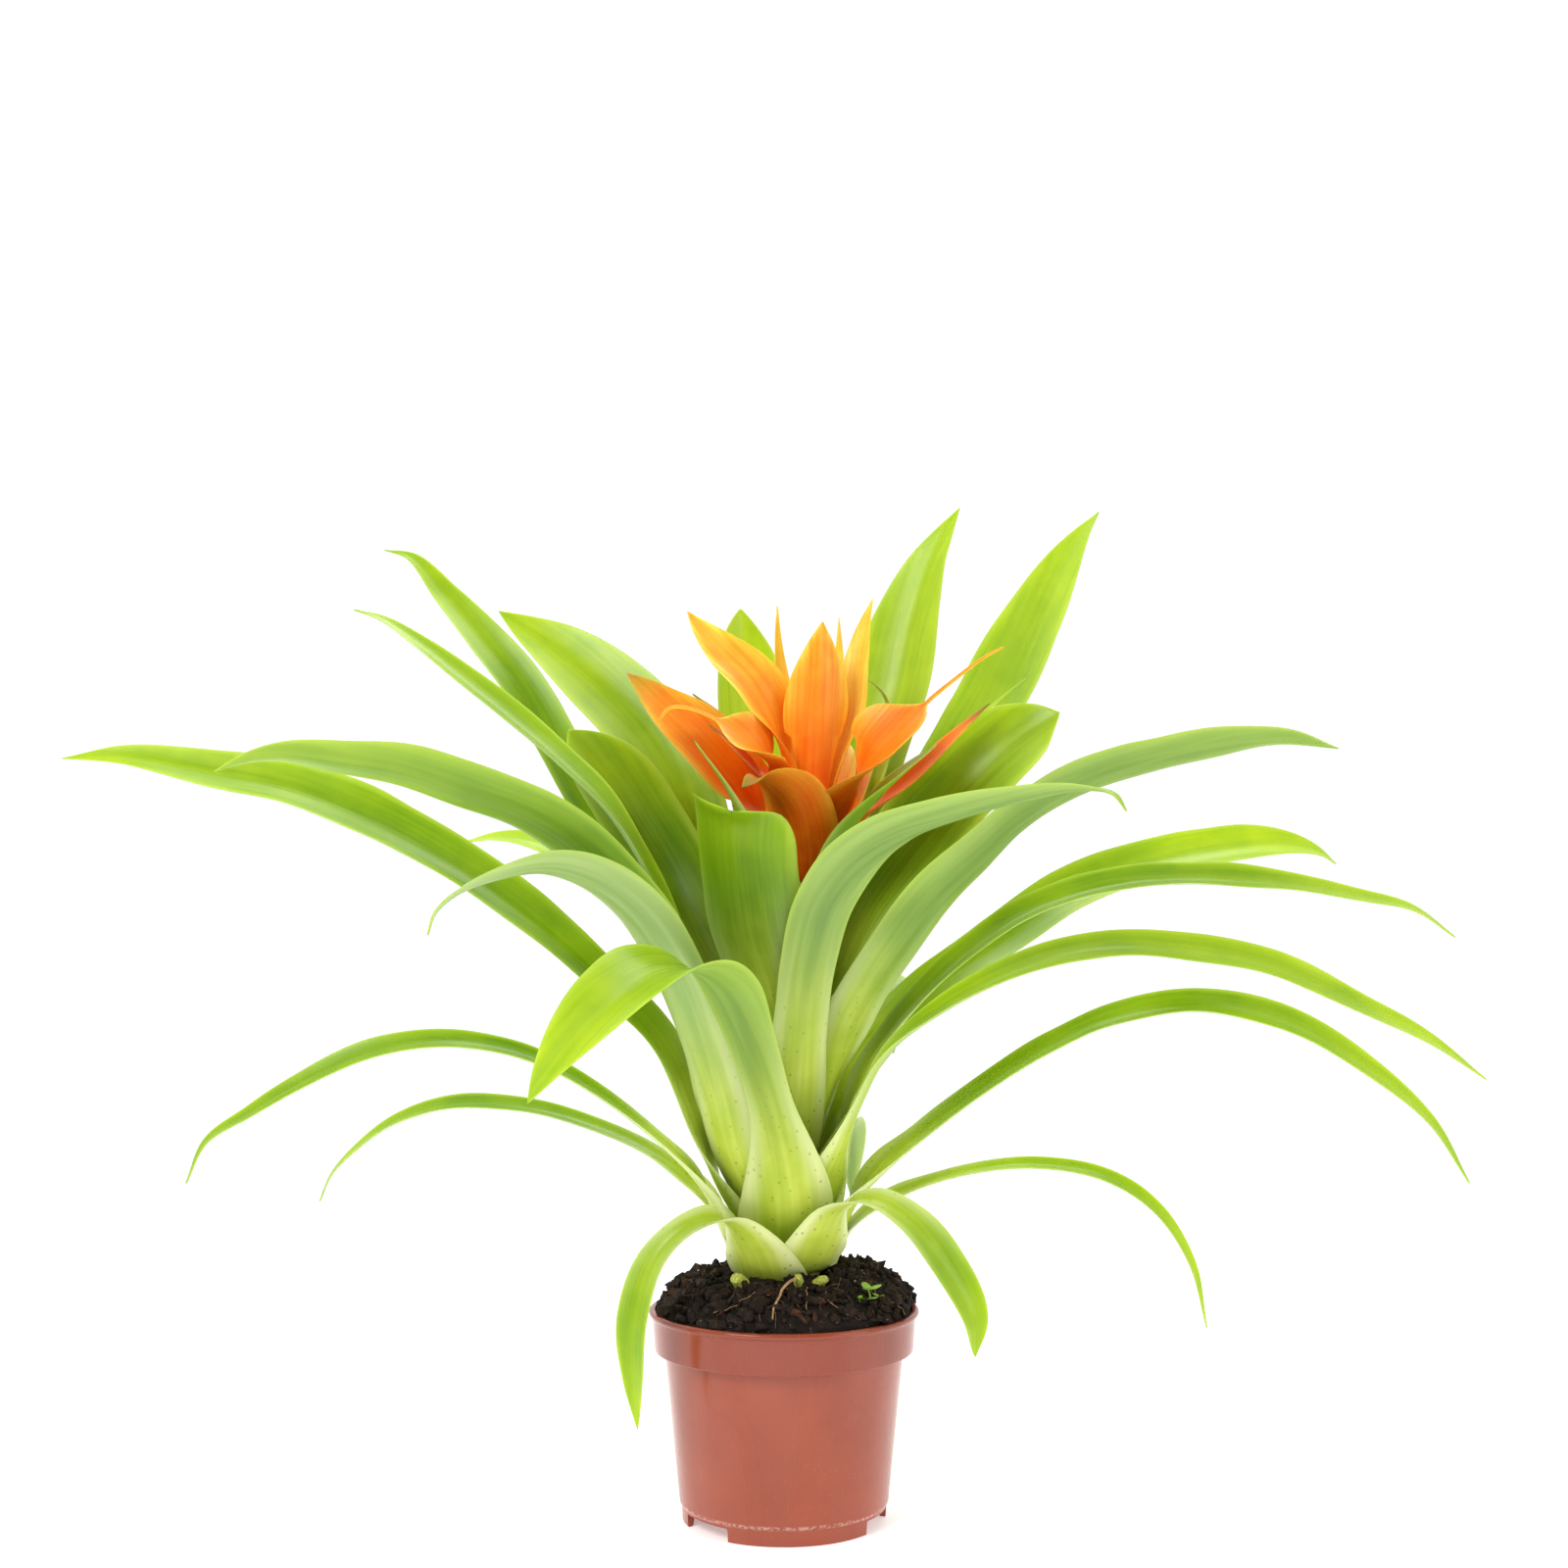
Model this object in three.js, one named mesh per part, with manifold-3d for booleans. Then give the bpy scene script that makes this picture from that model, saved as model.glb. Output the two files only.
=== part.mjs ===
// A potted bromeliad: a rosette of strap leaves and a star of orange bracts, rooted in a
// small moulded nursery pot. Millimetres, +Z up. The origin is the middle of the pot's foot
// on the surface that it stands on. +X is the long side of the plant, -Y its front.
import * as THREE from "three";
import { mergeVertices } from "three/addons/utils/BufferGeometryUtils.js";
import Module from "manifold-3d";

// Driving dimensions of the pot.
const POT_HEIGHT = 93; // foot to rim
const RIM_RADIUS = 60; // a 12 cm pot
const WALL = 1.4;
const BAND_HEIGHT = 18; // the collar under the rim
const BAND_FOOT_RADIUS = 57.5;
const BODY_TOP_RADIUS = 53;
const BODY_FOOT_RADIUS = 46.4;
const FOOT_RING_RADIUS = 45.5;
const FOOT_RING_HEIGHT = 8;
const FLOOR_HEIGHT = 7; // the pot's floor is held clear of the ground
const POT_SIDES = 36;
const NOTCH_COUNT = 3; // gaps in the foot ring that let water out
const NOTCH_FIRST_BEARING = -20;
const NOTCH_WIDTH = 22;
const NOTCH_HEIGHT = 6.4;
const DRAIN_COUNT = 4;
const DRAIN_RADIUS = 5;
const DRAIN_PITCH_RADIUS = 27;

// Driving dimensions of the plant.
const GAP = 0.4; // between pieces that touch
const SOIL_TOP = 109; // beside the plant's foot
const STEM_BOTTOM = 84;
const STEM_TOP = 326;
const STEM_LEAN = 13; // how far the flower stalk leans to +X
const LEAN_START = 200;
const LEAN_END = 330;
const ROOT_CLEARANCE = 1.7; // from the stem's surface to the middle of a leaf's thickness
const ROOT_THICKNESS = 1.6;
const TIP_THICKNESS = 0.9;
const ACROSS = 4; // facets over a leaf's width, on each face
const SHEATH_LENGTH = 46; // the wide foot of a leaf that wraps the stem
const NECK_RATIO = 0.78; // a blade's narrowest width over its widest

// The stem's radius at a few heights; straight between them.
const STEM_RADII = [
  [STEM_BOTTOM, 14],
  [108, 19],
  [138, 16],
  [198, 10],
  [238, 7],
  [300, 5.5],
  [STEM_TOP, 4],
];

// Small things on the soil.
const LOOSE_ROOT_RADIUS = 0.6;
const LOOSE_ROOT = [[9, -31, 109], [5, -35, 112], [0, -42, 109], [-4, -49, 103], [-5, -54, 98.5]];
const SEEDLING_FOOT = [36, -34, 99.5];
const SEEDLING_LEAVES = 3;
const SEEDLING_LEAF_RADIUS = 2.6;

const BRACT = "bract";
const LEAF = "leaf";

// Each leaf and bract: its name, where it grows on the stem (bearing in degrees from +X
// towards +Y, and height), the route of its middle line from there to the tip, its widest
// width, how far it wraps the stem at its foot (degrees each side), how far the blade is
// rolled about its own line (degrees), its half-angle of cupping, and how blunt its tip is.
const LEAVES = [
  { name: "leaf_front_left_low", root: [-114, 104], width: 17, wrap: 50, roll: -20, cup: 30, blunt: 2.0,
    route: [[-15, -31, 125], [-26, -37, 137], [-40, -41, 135], [-54, -44, 122], [-62, -46, 98],
      [-63, -45, 72], [-62, -43, 49]] },
  { name: "leaf_front_right_low", root: [-60, 111], width: 19, wrap: 46, roll: 20, cup: 28, blunt: 3.2,
    route: [[16, -30, 126], [24, -36, 142], [38, -42, 146], [54, -48, 137], [68, -52, 119], [79, -54, 98],
      [80, -53, 82]] },
  { name: "leaf_right_thin", root: [2, 106], width: 10, wrap: 28, roll: 30, cup: 30, blunt: 2.0,
    route: [[30, 0, 128], [50, -4, 143], [76, -9, 153], [107, -16, 158], [138, -26, 154], [159, -34, 141],
      [173, -40, 119], [179, -44, 92]] },
  { name: "leaf_left_low_back", root: [168, 106], width: 12, wrap: 28, roll: -30, cup: 30, blunt: 2.0,
    route: [[-32, 5, 136], [-45, 11, 149], [-63, 20, 161], [-96, 30, 173], [-123, 38, 178],
      [-155, 47, 178], [-184, 55, 169], [-203, 60, 156], [-216, 64, 143], [-222, 66, 130]] },
  { name: "leaf_back_low", root: [108, 108], width: 20, wrap: 36, roll: 0, cup: 28, blunt: 1.8,
    route: [[-9, 33, 136], [-12, 50, 157], [-14, 72, 169], [-15, 95, 165], [-16, 114, 148], [-16, 128, 122]] },
  { name: "leaf_back_right_low", root: [52, 109], width: 18, wrap: 26, roll: 0, cup: 28, blunt: 1.8,
    route: [[21, 25, 137], [25, 42, 156], [28, 64, 167], [31, 88, 164], [33, 108, 148], [34, 124, 124]] },
  { name: "leaf_left_low_front", root: [206, 114], width: 15, wrap: 36, roll: -30, cup: 30, blunt: 1.8,
    route: [[-29, -16, 137], [-42, -22, 157], [-66, -30, 180], [-88, -36, 196], [-105, -39, 205],
      [-125, -41, 211], [-150, -43, 213], [-177, -44, 208], [-203, -44, 196], [-226, -43, 183], [-245, -42, 171],
      [-254, -41, 153]] },
  { name: "leaf_right_low", root: [-18, 113], width: 20, wrap: 50, roll: 30, cup: 30, blunt: 1.8,
    route: [[30, -11, 138], [44, -13, 156], [62, -15, 172], [88, -18, 192], [116, -24, 210],
      [141, -30, 222], [175, -38, 228], [211, -46, 221], [243, -53, 203], [269, -58, 181], [284, -62, 156]] },
  { name: "leaf_front_folded", root: [-86, 122], width: 42, neck: 0.5, wrap: 62, roll: -10, cup: 26, blunt: 2.0,
    route: [[1, -32, 145], [-3, -40, 172], [-10, -48, 198], [-18, -56, 220], [-26, -65, 236],
      [-36, -77, 244], [-49, -90, 244], [-63, -104, 236], [-78, -117, 222], [-90, -128, 207],
      [-97, -135, 196]] },
  { name: "leaf_left_long", root: [188, 128], width: 28, wrap: 44, roll: -50, cup: 26, blunt: 2.2,
    route: [[-31, -9, 152], [-41, -15, 182], [-53, -21, 210], [-76, -27, 236], [-101, -30, 259], [-127, -31, 279],
      [-156, -32, 297], [-184, -33, 311], [-215, -34, 322], [-250, -35, 329], [-282, -36, 335], [-308, -38, 334]] },
  { name: "leaf_back_long", root: [90, 126], width: 28, wrap: 44, roll: 0, cup: 26, blunt: 2.1,
    route: [[0, 30, 156], [1, 42, 190], [4, 56, 222], [8, 76, 246], [12, 97, 256], [16, 118, 252],
      [20, 135, 240]] },
  { name: "leaf_left_bent", root: [232, 135], width: 31, wrap: 46, roll: 15, cup: 26, blunt: 2.0,
    route: [[-22, -24, 162], [-29, -31, 190], [-38, -39, 219], [-47, -49, 244], [-60, -59, 265],
      [-77, -68, 279], [-96, -76, 285], [-115, -83, 282], [-130, -89, 276], [-139, -92, 268],
      [-142, -94, 259]] },
  { name: "leaf_right_middle", root: [-42, 130], width: 22, wrap: 54, roll: 34, cup: 28, blunt: 1.9,
    route: [[24, -22, 160], [33, -30, 186], [45, -37, 209], [66, -39, 226], [102, -36, 244], [137, -32, 252],
      [173, -28, 251], [211, -24, 244], [251, -20, 227], [281, -17, 213], [308, -14, 195]] },
  { name: "leaf_back_left", root: [124, 134], width: 25, wrap: 36, roll: 0, cup: 26, blunt: 2.1,
    route: [[-15, 25, 164], [-21, 37, 194], [-27, 59, 217], [-34, 82, 227], [-40, 104, 220],
      [-44, 122, 203], [-46, 134, 180]] },
  { name: "leaf_back_right", root: [52, 137], width: 25, wrap: 40, roll: 0, cup: 26, blunt: 2.1,
    route: [[19, 24, 166], [26, 36, 196], [36, 54, 221], [44, 78, 233], [50, 101, 229], [54, 120, 216],
      [56, 134, 196]] },
  { name: "leaf_left_second", root: [214, 142], width: 30, wrap: 48, roll: 32, cup: 26, blunt: 2.3,
    route: [[-26, -22.5, 178], [-34, -31.5, 211], [-46, -40.5, 243], [-62, -46, 269], [-82, -54, 291],
      [-103, -62, 306], [-129, -70, 316], [-153, -78, 324], [-177, -85, 328], [-200, -91, 331],
      [-214, -95, 329], [-226, -98, 324]] },
  { name: "leaf_right_high", root: [-6, 145], width: 21, wrap: 48, roll: 32, cup: 28, blunt: 1.8,
    route: [[29, -8, 178], [40, -10, 205], [61, -9, 232], [87, -4, 255], [115, 0, 271], [151, 4, 281],
      [178, 7, 283], [221, 11, 281], [261, 14, 275], [285, 16, 270], [305, 18, 257]] },
  { name: "leaf_left_back_low", root: [150, 148], width: 20, wrap: 46, roll: -30, cup: 26, blunt: 2.6,
    route: [[-27, 14, 184], [-37, 19, 216], [-50, 26, 246], [-68, 34, 269], [-91, 44, 289], [-115, 54, 300],
      [-136, 62, 304], [-154, 68, 302]] },
  { name: "leaf_right_lime", root: [34, 151], width: 28, wrap: 40, roll: 40, cup: 24, blunt: 4,
    route: [[24, 16, 184], [41, 21, 208], [66, 31, 232], [99, 43, 254], [134, 56, 276], [171, 68, 290],
      [209, 79, 298], [243, 88, 301], [262, 92, 298], [272, 94, 292]] },
  { name: "leaf_left_upper", root: [198, 158], width: 20, wrap: 34, roll: -38, cup: 30, blunt: 2.0,
    route: [[-25.4, -13.1, 192], [-33.7, -27, 222], [-44.7, -34, 256], [-61, -37, 290], [-77, -33, 314],
      [-95, -29, 332], [-119, -23, 353], [-140, -18, 370], [-160, -14, 386], [-176, -11, 397], [-190, -8, 402]] },
  { name: "leaf_left_upper_back", root: [156, 167], width: 23, wrap: 34, roll: -42, cup: 28, blunt: 2.0,
    route: [[-28, 9, 198], [-40, 13, 232], [-55, 20, 260], [-72, 28, 287], [-91, 37, 317], [-108, 47, 348],
      [-125, 57, 376], [-143, 66, 398], [-163, 76, 421], [-181, 84, 441], [-196, 90, 446]] },
  { name: "leaf_front_arched", root: [-78, 162], width: 31, wrap: 48, roll: 0, cup: 30, blunt: 2.0,
    route: [[6, -28, 196], [8, -37, 222], [11, -46, 246], [17, -54, 269], [29, -62, 286], [46, -71, 298],
      [68, -79, 306], [94, -88, 313], [119, -96, 317], [130, -100, 315], [135, -103, 308]] },
  { name: "leaf_back_right_upright", root: [48, 166], width: 20, wrap: 42, roll: 10, cup: 26, blunt: 2,
    route: [[22, 20, 200], [38, 28, 226], [54, 32, 248], [63, 34, 270], [63, 35, 290], [60, 34, 306]] },
  { name: "leaf_right_upper", root: [-28, 170], width: 29, wrap: 44, roll: -34, cup: 26, blunt: 2.2,
    route: [[22, -16, 202], [31, -27.5, 226.5], [47.5, -34.5, 252.5], [64, -31, 273.8], [85, -19, 292],
      [107, -6, 310], [135, 9, 325], [172, 20, 337], [202, 25, 344], [230, 29, 348], [256, 32, 344]] },
  { name: "leaf_inner_left", root: [183, 178.6], width: 45, wrap: 30, roll: -56, cup: 22, blunt: 4.5,
    route: [[-22.1, -10.4, 212], [-28.7, -4, 238], [-39, -7, 260], [-50, -9, 282], [-63, -8, 303],
      [-76, -8, 324], [-87, -8, 339], [-95, -9, 349]] },
  { name: "leaf_front_notched", root: [-100, 184], width: 54, neck: 0.66, wrap: 42, roll: 0, cup: 34, blunt: 8,
    route: [[-6, -22, 212], [-11, -30, 236], [-17, -37, 257], [-20, -43, 277], [-22, -49, 295], [-22, -55, 306],
      [-22, -64, 311]] },
  { name: "leaf_inner_right", root: [-35, 188], width: 44, wrap: 34, roll: 60, cup: 22, blunt: 5,
    route: [[17.8, -13.3, 218], [26, -11, 245], [39.2, -5, 273], [56.8, -1, 297], [76, -2.5, 319],
      [95, -3, 338], [112, -3, 351], [122, -5, 357]] },
  { name: "leaf_left_back_broad", root: [150, 192], width: 40, wrap: 24, roll: -50, cup: 22, blunt: 2.4,
    route: [[-22.5, 17.6, 226], [-34.2, 16.2, 266], [-41.3, 25.3, 304], [-51, 32, 332], [-67, 42, 356],
      [-87, 52, 376], [-106, 60, 392], [-122, 65, 403], [-137, 69, 413]] },
  { name: "leaf_back_right_tall", root: [31, 194.6], width: 44, wrap: 28, roll: 20, cup: 20, blunt: 1.9,
    route: [[23.8, 10.6, 226], [41.8, 13.6, 266], [60.8, 23.6, 305], [83, 37, 339], [102, 51, 370],
      [117, 62, 400], [131, 71, 429], [143, 77, 450], [153, 80, 463]] },
  { name: "leaf_back_tall", root: [83.5, 198.4], width: 41, wrap: 30, roll: 8, cup: 20, blunt: 1.9,
    route: [[4.2, 30.3, 238], [15.7, 40.4, 274], [31, 47, 310], [42, 54, 345], [52, 60, 373], [59, 67, 403],
      [69, 72, 434], [78, 74, 452], [85, 76, 464]] },
  { name: "leaf_back_high", root: [92, 180], width: 26, wrap: 40, roll: 0, cup: 26, blunt: 2.1,
    route: [[-2, 22, 208], [-3, 36, 242], [-1, 55, 272], [2, 78, 294], [5, 101, 303], [7, 120, 300],
      [9, 134, 291]] },
  { name: "leaf_back_rounded", root: [112, 203], width: 37, wrap: 32, roll: 0, cup: 20, blunt: 4,
    route: [[-3.5, 15.2, 244], [-6.8, 32.4, 282], [-11.8, 47.4, 319], [-16, 59, 352], [-18, 67, 381],
      [-20, 71, 400], [-21, 73, 415]] },
  { name: "leaf_inner_front_right", root: [-58, 208], width: 25, wrap: 40, roll: 40, cup: 24, blunt: 1.8,
    route: [[9, -14, 244], [14, -21.5, 270], [23, -26.5, 294], [37, -28, 314], [52, -29, 329], [66, -28, 341]] },
  { name: "leaf_inner_pale", root: [60, 214], width: 9, wrap: 26, roll: 0, cup: 20, blunt: 1.6,
    route: [[16, 15, 262], [30, 17, 296], [43, 17, 326], [49, 17, 350], [46, 16, 366], [37, 14, 375]] },
  { name: "leaf_inner_narrow", root: [4, 222], width: 8, wrap: 23, roll: 20, cup: 24, blunt: 1.5,
    route: [[20.2, 10.9, 258], [39.7, 16.2, 290], [66.7, 19.2, 330], [83, 18, 350], [97, 18, 364],
      [110, 17, 375]] },
];

const BRACTS = [
  { name: "bract_foot_pale", root: [-100, 238], width: 17, wrap: 40, roll: 0, cup: 24, blunt: 1.8,
    route: [[5, -14, 256], [4, -19, 274], [1, -22, 291]] },
  { name: "bract_left_green", root: [-130, 262], width: 10, wrap: 40, roll: -20, cup: 26, blunt: 1.6,
    route: [[-5, -15, 286], [-16, -26.5, 306], [-26, -28, 324], [-39, -26, 343]] },
  { name: "bract_front_low", root: [-84, 268], width: 33, wrap: 60, roll: 0, cup: 30, blunt: 3,
    route: [[9, -18, 284], [8, -26, 300], [4, -33, 314], [-3, -38, 322], [-11, -42, 325], [-18, -45, 321]] },
  { name: "bract_front_right_small", root: [-50, 272], width: 18, wrap: 50, roll: 10, cup: 30, blunt: 2,
    route: [[15, -14, 286], [19, -19, 299], [21, -23, 311]] },
  { name: "bract_left_far", root: [200, 280], width: 35, wrap: 55, roll: -66, cup: 26, blunt: 2.4,
    route: [[-8, -7, 304], [-23, -12, 327], [-39, -15, 345], [-52, -17, 357], [-61, -18, 366], [-69, -18, 373]] },
  { name: "bract_back_left", root: [130, 284], width: 24, wrap: 50, roll: 0, cup: 26, blunt: 1.8,
    route: [[0, 15, 304], [-9, 26, 322], [-18, 36, 335], [-27, 45, 344]] },
  { name: "bract_back_right", root: [45, 286], width: 25, wrap: 50, roll: 0, cup: 26, blunt: 1.8,
    route: [[22, 14, 306], [30, 23, 321], [37, 32, 334], [42, 41, 343]] },
  { name: "bract_left_dark", root: [218, 289], width: 15, wrap: 45, roll: -50, cup: 28, blunt: 1.6,
    route: [[-2, -13, 311], [-12, -20, 328], [-23, -24, 341], [-33, -26, 350]] },
  { name: "bract_right_brown", root: [-12, 291], width: 14, wrap: 45, roll: 45, cup: 28, blunt: 1.6,
    route: [[33, -6, 308], [56, -9, 327], [75, -9, 346], [91, -8, 361]] },
  { name: "bract_left_sliver", root: [176, 295], width: 10, wrap: 40, roll: -40, cup: 28, blunt: 1.6,
    route: [[-4, 2, 322], [-18, 5, 342], [-30, 3, 357], [-41, 1, 366]] },
  { name: "bract_right_thread", root: [-48, 296], width: 47, wrap: 58, roll: 66, cup: 30, blunt: 3.2, thread: 0.34,
    route: [[21, -16, 309], [31, -26, 324], [43, -31, 338], [54, -32, 350], [62, -31, 359], [74, -30, 369],
      [86, -29, 378], [95, -28, 383]] },
  { name: "bract_back", root: [80, 299], width: 28, wrap: 50, roll: 0, cup: 26, blunt: 1.8,
    route: [[17, 15, 316], [22, 27, 331], [26, 38, 342], [29, 48, 349]] },
  { name: "bract_left_curled", root: [236, 302], width: 37, wrap: 52, roll: -64, cup: 28, blunt: 3, thread: 0.3,
    route: [[3, -17, 316], [-4, -26, 330], [-16.9, -29.5, 342.5], [-29, -32, 351], [-41, -31, 356],
      [-49, -32, 356], [-54, -32, 350]] },
  { name: "bract_upper_left", root: [186, 307], width: 32, wrap: 36, roll: -64, cup: 24, blunt: 2.0,
    route: [[0.6, -4, 333], [-5.7, -7.3, 354], [-14.7, -8.3, 370], [-28, -6, 384], [-37, -5, 394],
      [-43, -4, 402]] },
  { name: "bract_upper_right", root: [6, 309], width: 20, wrap: 38, roll: 30, cup: 24, blunt: 1.8,
    route: [[25, 3, 335], [31, 6, 357], [33, 8, 377], [36, 10, 396], [40, 10, 410]] },
  { name: "bract_centre", root: [-82, 312], width: 34, wrap: 34, roll: 0, cup: 32, blunt: 2.1,
    route: [[15, -8, 335], [16, -11, 358], [17, -11, 378], [17, -8, 397]] },
  { name: "bract_upper_left_thin", root: [140, 315], width: 13, wrap: 24, roll: 0, cup: 22, blunt: 1.7,
    route: [[3, 10.5, 340], [-1, 12.5, 366], [-3, 11, 388], [-3, 11, 407]] },
  { name: "bract_upper_sliver", root: [66, 318], width: 9, wrap: 20, roll: 0, cup: 22, blunt: 1.6,
    route: [[20, 15, 345], [25, 18, 376], [25, 20, 403]] },
  { name: "bract_inner", root: [96, 320], width: 12, wrap: 22, roll: 0, cup: 22, blunt: 1.8,
    route: [[12, 14, 340], [12, 20, 360], [11, 24, 377]] },
];

const COLOURS = {
  pot: 0xbb5a44,
  soil: 0x2a1d15,
  stem: 0xb9c98a,
  leaf: 0x5f9a2c,
  bract: 0xf07a1e,
  root: 0xbf8f60,
  seedling: 0x6fae2f,
};

const wasm = await Module();
wasm.setup();

const radians = THREE.MathUtils.degToRad;
const ease = THREE.MathUtils.smoothstep;
const mix = THREE.MathUtils.lerp;

function standardMaterial(colour, roughness) {
  return new THREE.MeshStandardMaterial({ color: colour, roughness, metalness: 0 });
}

function namedMesh(name, geometry, material) {
  const mesh = new THREE.Mesh(geometry, material);
  mesh.name = name;
  return mesh;
}

// The stem's middle line: upright, then leaning to +X below the flower.
function stemCentre(z) {
  return STEM_LEAN * ease(z, LEAN_START, LEAN_END);
}

function stemRadius(z) {
  const above = STEM_RADII.findIndex(([height]) => height >= z);
  if (above === 0) return STEM_RADII[0][1];
  if (above < 0) return STEM_RADII.at(-1)[1];
  const [z0, r0] = STEM_RADII[above - 1];
  const [z1, r1] = STEM_RADII[above];
  return mix(r0, r1, (z - z0) / (z1 - z0));
}

// The width of a leaf at a fraction u of its length: wide at the sheath, drawn in at the
// neck, widest past the middle, and then closing to the tip.
function leafWidth(leaf, length, u) {
  const sheathEnd = Math.min(SHEATH_LENGTH / length, 0.4);
  const widest = leaf.kind === BRACT ? 0.42 : 0.66;
  const tipStart = leaf.thread ? 1 - leaf.thread : 1;
  const sheath = 2 * radians(leaf.wrap) * (stemRadius(leaf.root[1]) + ROOT_CLEARANCE);
  const neck = leaf.width * (leaf.neck ?? NECK_RATIO);
  if (u < sheathEnd) return mix(sheath, neck, ease(u, 0, sheathEnd));
  if (u < widest) return mix(neck, leaf.width, ease(u, sheathEnd, widest));
  const along = Math.min((u - widest) / (tipStart - widest), 1);
  const closing = leaf.width * (1 - along ** leaf.blunt);
  return leaf.thread ? Math.max(closing, 2.2 * (1 - u) ** 0.3) : closing;
}

// A leaf is a thin lens-shaped section carried along a curve. The section is an arc: at the
// foot it follows the stem round, and further out it is the shallow channel of the blade.
function leafGeometry(leaf) {
  const [bearing, rootHeight] = leaf.root;
  const rootRadius = stemRadius(rootHeight) + ROOT_CLEARANCE;
  const rootPoint = new THREE.Vector3(
    stemCentre(rootHeight) + rootRadius * Math.cos(radians(bearing)),
    rootRadius * Math.sin(radians(bearing)),
    rootHeight,
  );
  const points = [rootPoint, ...leaf.route.map(([x, y, z]) => new THREE.Vector3(x, y, z))];
  const curve = new THREE.CatmullRomCurve3(points, false, "centripetal");
  const length = curve.getLength();
  const stations = leaf.kind === BRACT ? 7 : Math.round(THREE.MathUtils.clamp(length / 20, 9, 16));
  const half = ACROSS / 2;
  const vertices = [];
  const rows = 2 * ACROSS;

  for (let i = 0; i < stations; i++) {
    const u = i / stations;
    const centre = curve.getPointAt(u);
    const forward = curve.getTangentAt(u);
    const axisX = stemCentre(centre.z);
    const fromAxis = new THREE.Vector3(centre.x - axisX, centre.y, 0);
    const distance = fromAxis.length();
    const inward = fromAxis.clone().multiplyScalar(-1 / distance);
    const side = new THREE.Vector3(inward.y, -inward.x, 0);
    side.addScaledVector(forward, -side.dot(forward)).normalize();
    const free = ease(u * length, 0.35 * SHEATH_LENGTH, 1.3 * SHEATH_LENGTH);
    const upper = new THREE.Vector3().crossVectors(forward, side);
    upper.multiplyScalar(free).addScaledVector(inward, 1 - free).normalize();
    const turn = radians(leaf.roll) * free;
    side.applyAxisAngle(forward, turn);
    upper.applyAxisAngle(forward, turn);
    const width = leafWidth(leaf, length, u);
    const bend = mix(1 / distance, (2 * radians(leaf.cup)) / leaf.width, free);
    const thickness = mix(ROOT_THICKNESS, TIP_THICKNESS, u);
    for (let j = 0; j < rows; j++) {
      const s = j <= ACROSS ? j / half - 1 : (rows - j) / half - 1;
      const face = j <= ACROSS ? 1 : -1;
      const angle = (s * width * bend) / 2;
      const lift = (face * thickness * Math.sqrt(Math.max(0, 1 - s * s))) / 2;
      const point = centre.clone();
      point.addScaledVector(side, Math.sin(angle) / bend - lift * Math.sin(angle));
      point.addScaledVector(upper, (1 - Math.cos(angle)) / bend + lift * Math.cos(angle));
      vertices.push(point.x, point.y, point.z);
    }
  }
  const tip = curve.getPointAt(1);
  vertices.push(tip.x, tip.y, tip.z);

  const faces = [];
  const at = (i, j) => i * rows + (j % rows);
  for (let i = 0; i < stations - 1; i++)
    for (let j = 0; j < rows; j++)
      // Both faces are split along the same diagonals, so that a thin leaf doesn't cut itself.
      if (j < ACROSS) faces.push(at(i, j), at(i + 1, j + 1), at(i, j + 1), at(i, j), at(i + 1, j), at(i + 1, j + 1));
      else faces.push(at(i, j), at(i + 1, j), at(i, j + 1), at(i + 1, j), at(i + 1, j + 1), at(i, j + 1));
  for (let j = 0; j < rows; j++) faces.push(at(stations - 1, j), stations * rows, at(stations - 1, j + 1));
  for (let j = 1; j < ACROSS; j++) faces.push(at(0, j), at(0, j + 1), at(0, rows - j));
  for (let j = 1; j < ACROSS - 1; j++) faces.push(at(0, rows - j), at(0, j + 1), at(0, rows - j - 1));
  faces.push(at(0, 0), at(0, 1), at(0, rows - 1));
  const geometry = new THREE.BufferGeometry();
  geometry.setAttribute("position", new THREE.Float32BufferAttribute(vertices, 3));
  geometry.setIndex(faces);
  return geometry;
}

// A closed mesh as a manifold-3d solid, and back.
function toSolid(geometry) {
  geometry.deleteAttribute("normal");
  geometry.deleteAttribute("uv");
  const merged = mergeVertices(geometry, 1e-4);
  return new wasm.Manifold(
    new wasm.Mesh({
      numProp: 3,
      vertProperties: new Float32Array(merged.attributes.position.array),
      triVerts: new Uint32Array(merged.index.array),
    }),
  );
}

function fromSolid(solid) {
  const mesh = solid.getMesh();
  const geometry = new THREE.BufferGeometry();
  geometry.setAttribute("position", new THREE.Float32BufferAttribute(mesh.vertProperties, 3));
  geometry.setIndex([...mesh.triVerts]);
  return geometry;
}

// A profile of [radius, height] points turned about the Z axis.
function turned(profile, sides) {
  const points = profile.map(([radius, height]) => new THREE.Vector2(radius, height));
  return new THREE.LatheGeometry(points, sides).rotateX(Math.PI / 2);
}

function insideRadius(z) {
  const bodyTop = POT_HEIGHT - BAND_HEIGHT;
  if (z > bodyTop) return mix(BAND_FOOT_RADIUS, RIM_RADIUS, (z - bodyTop) / BAND_HEIGHT) - 2 * WALL;
  return mix(BODY_FOOT_RADIUS, BODY_TOP_RADIUS, (z - FOOT_RING_HEIGHT) / (bodyTop - FOOT_RING_HEIGHT)) - WALL;
}

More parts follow.
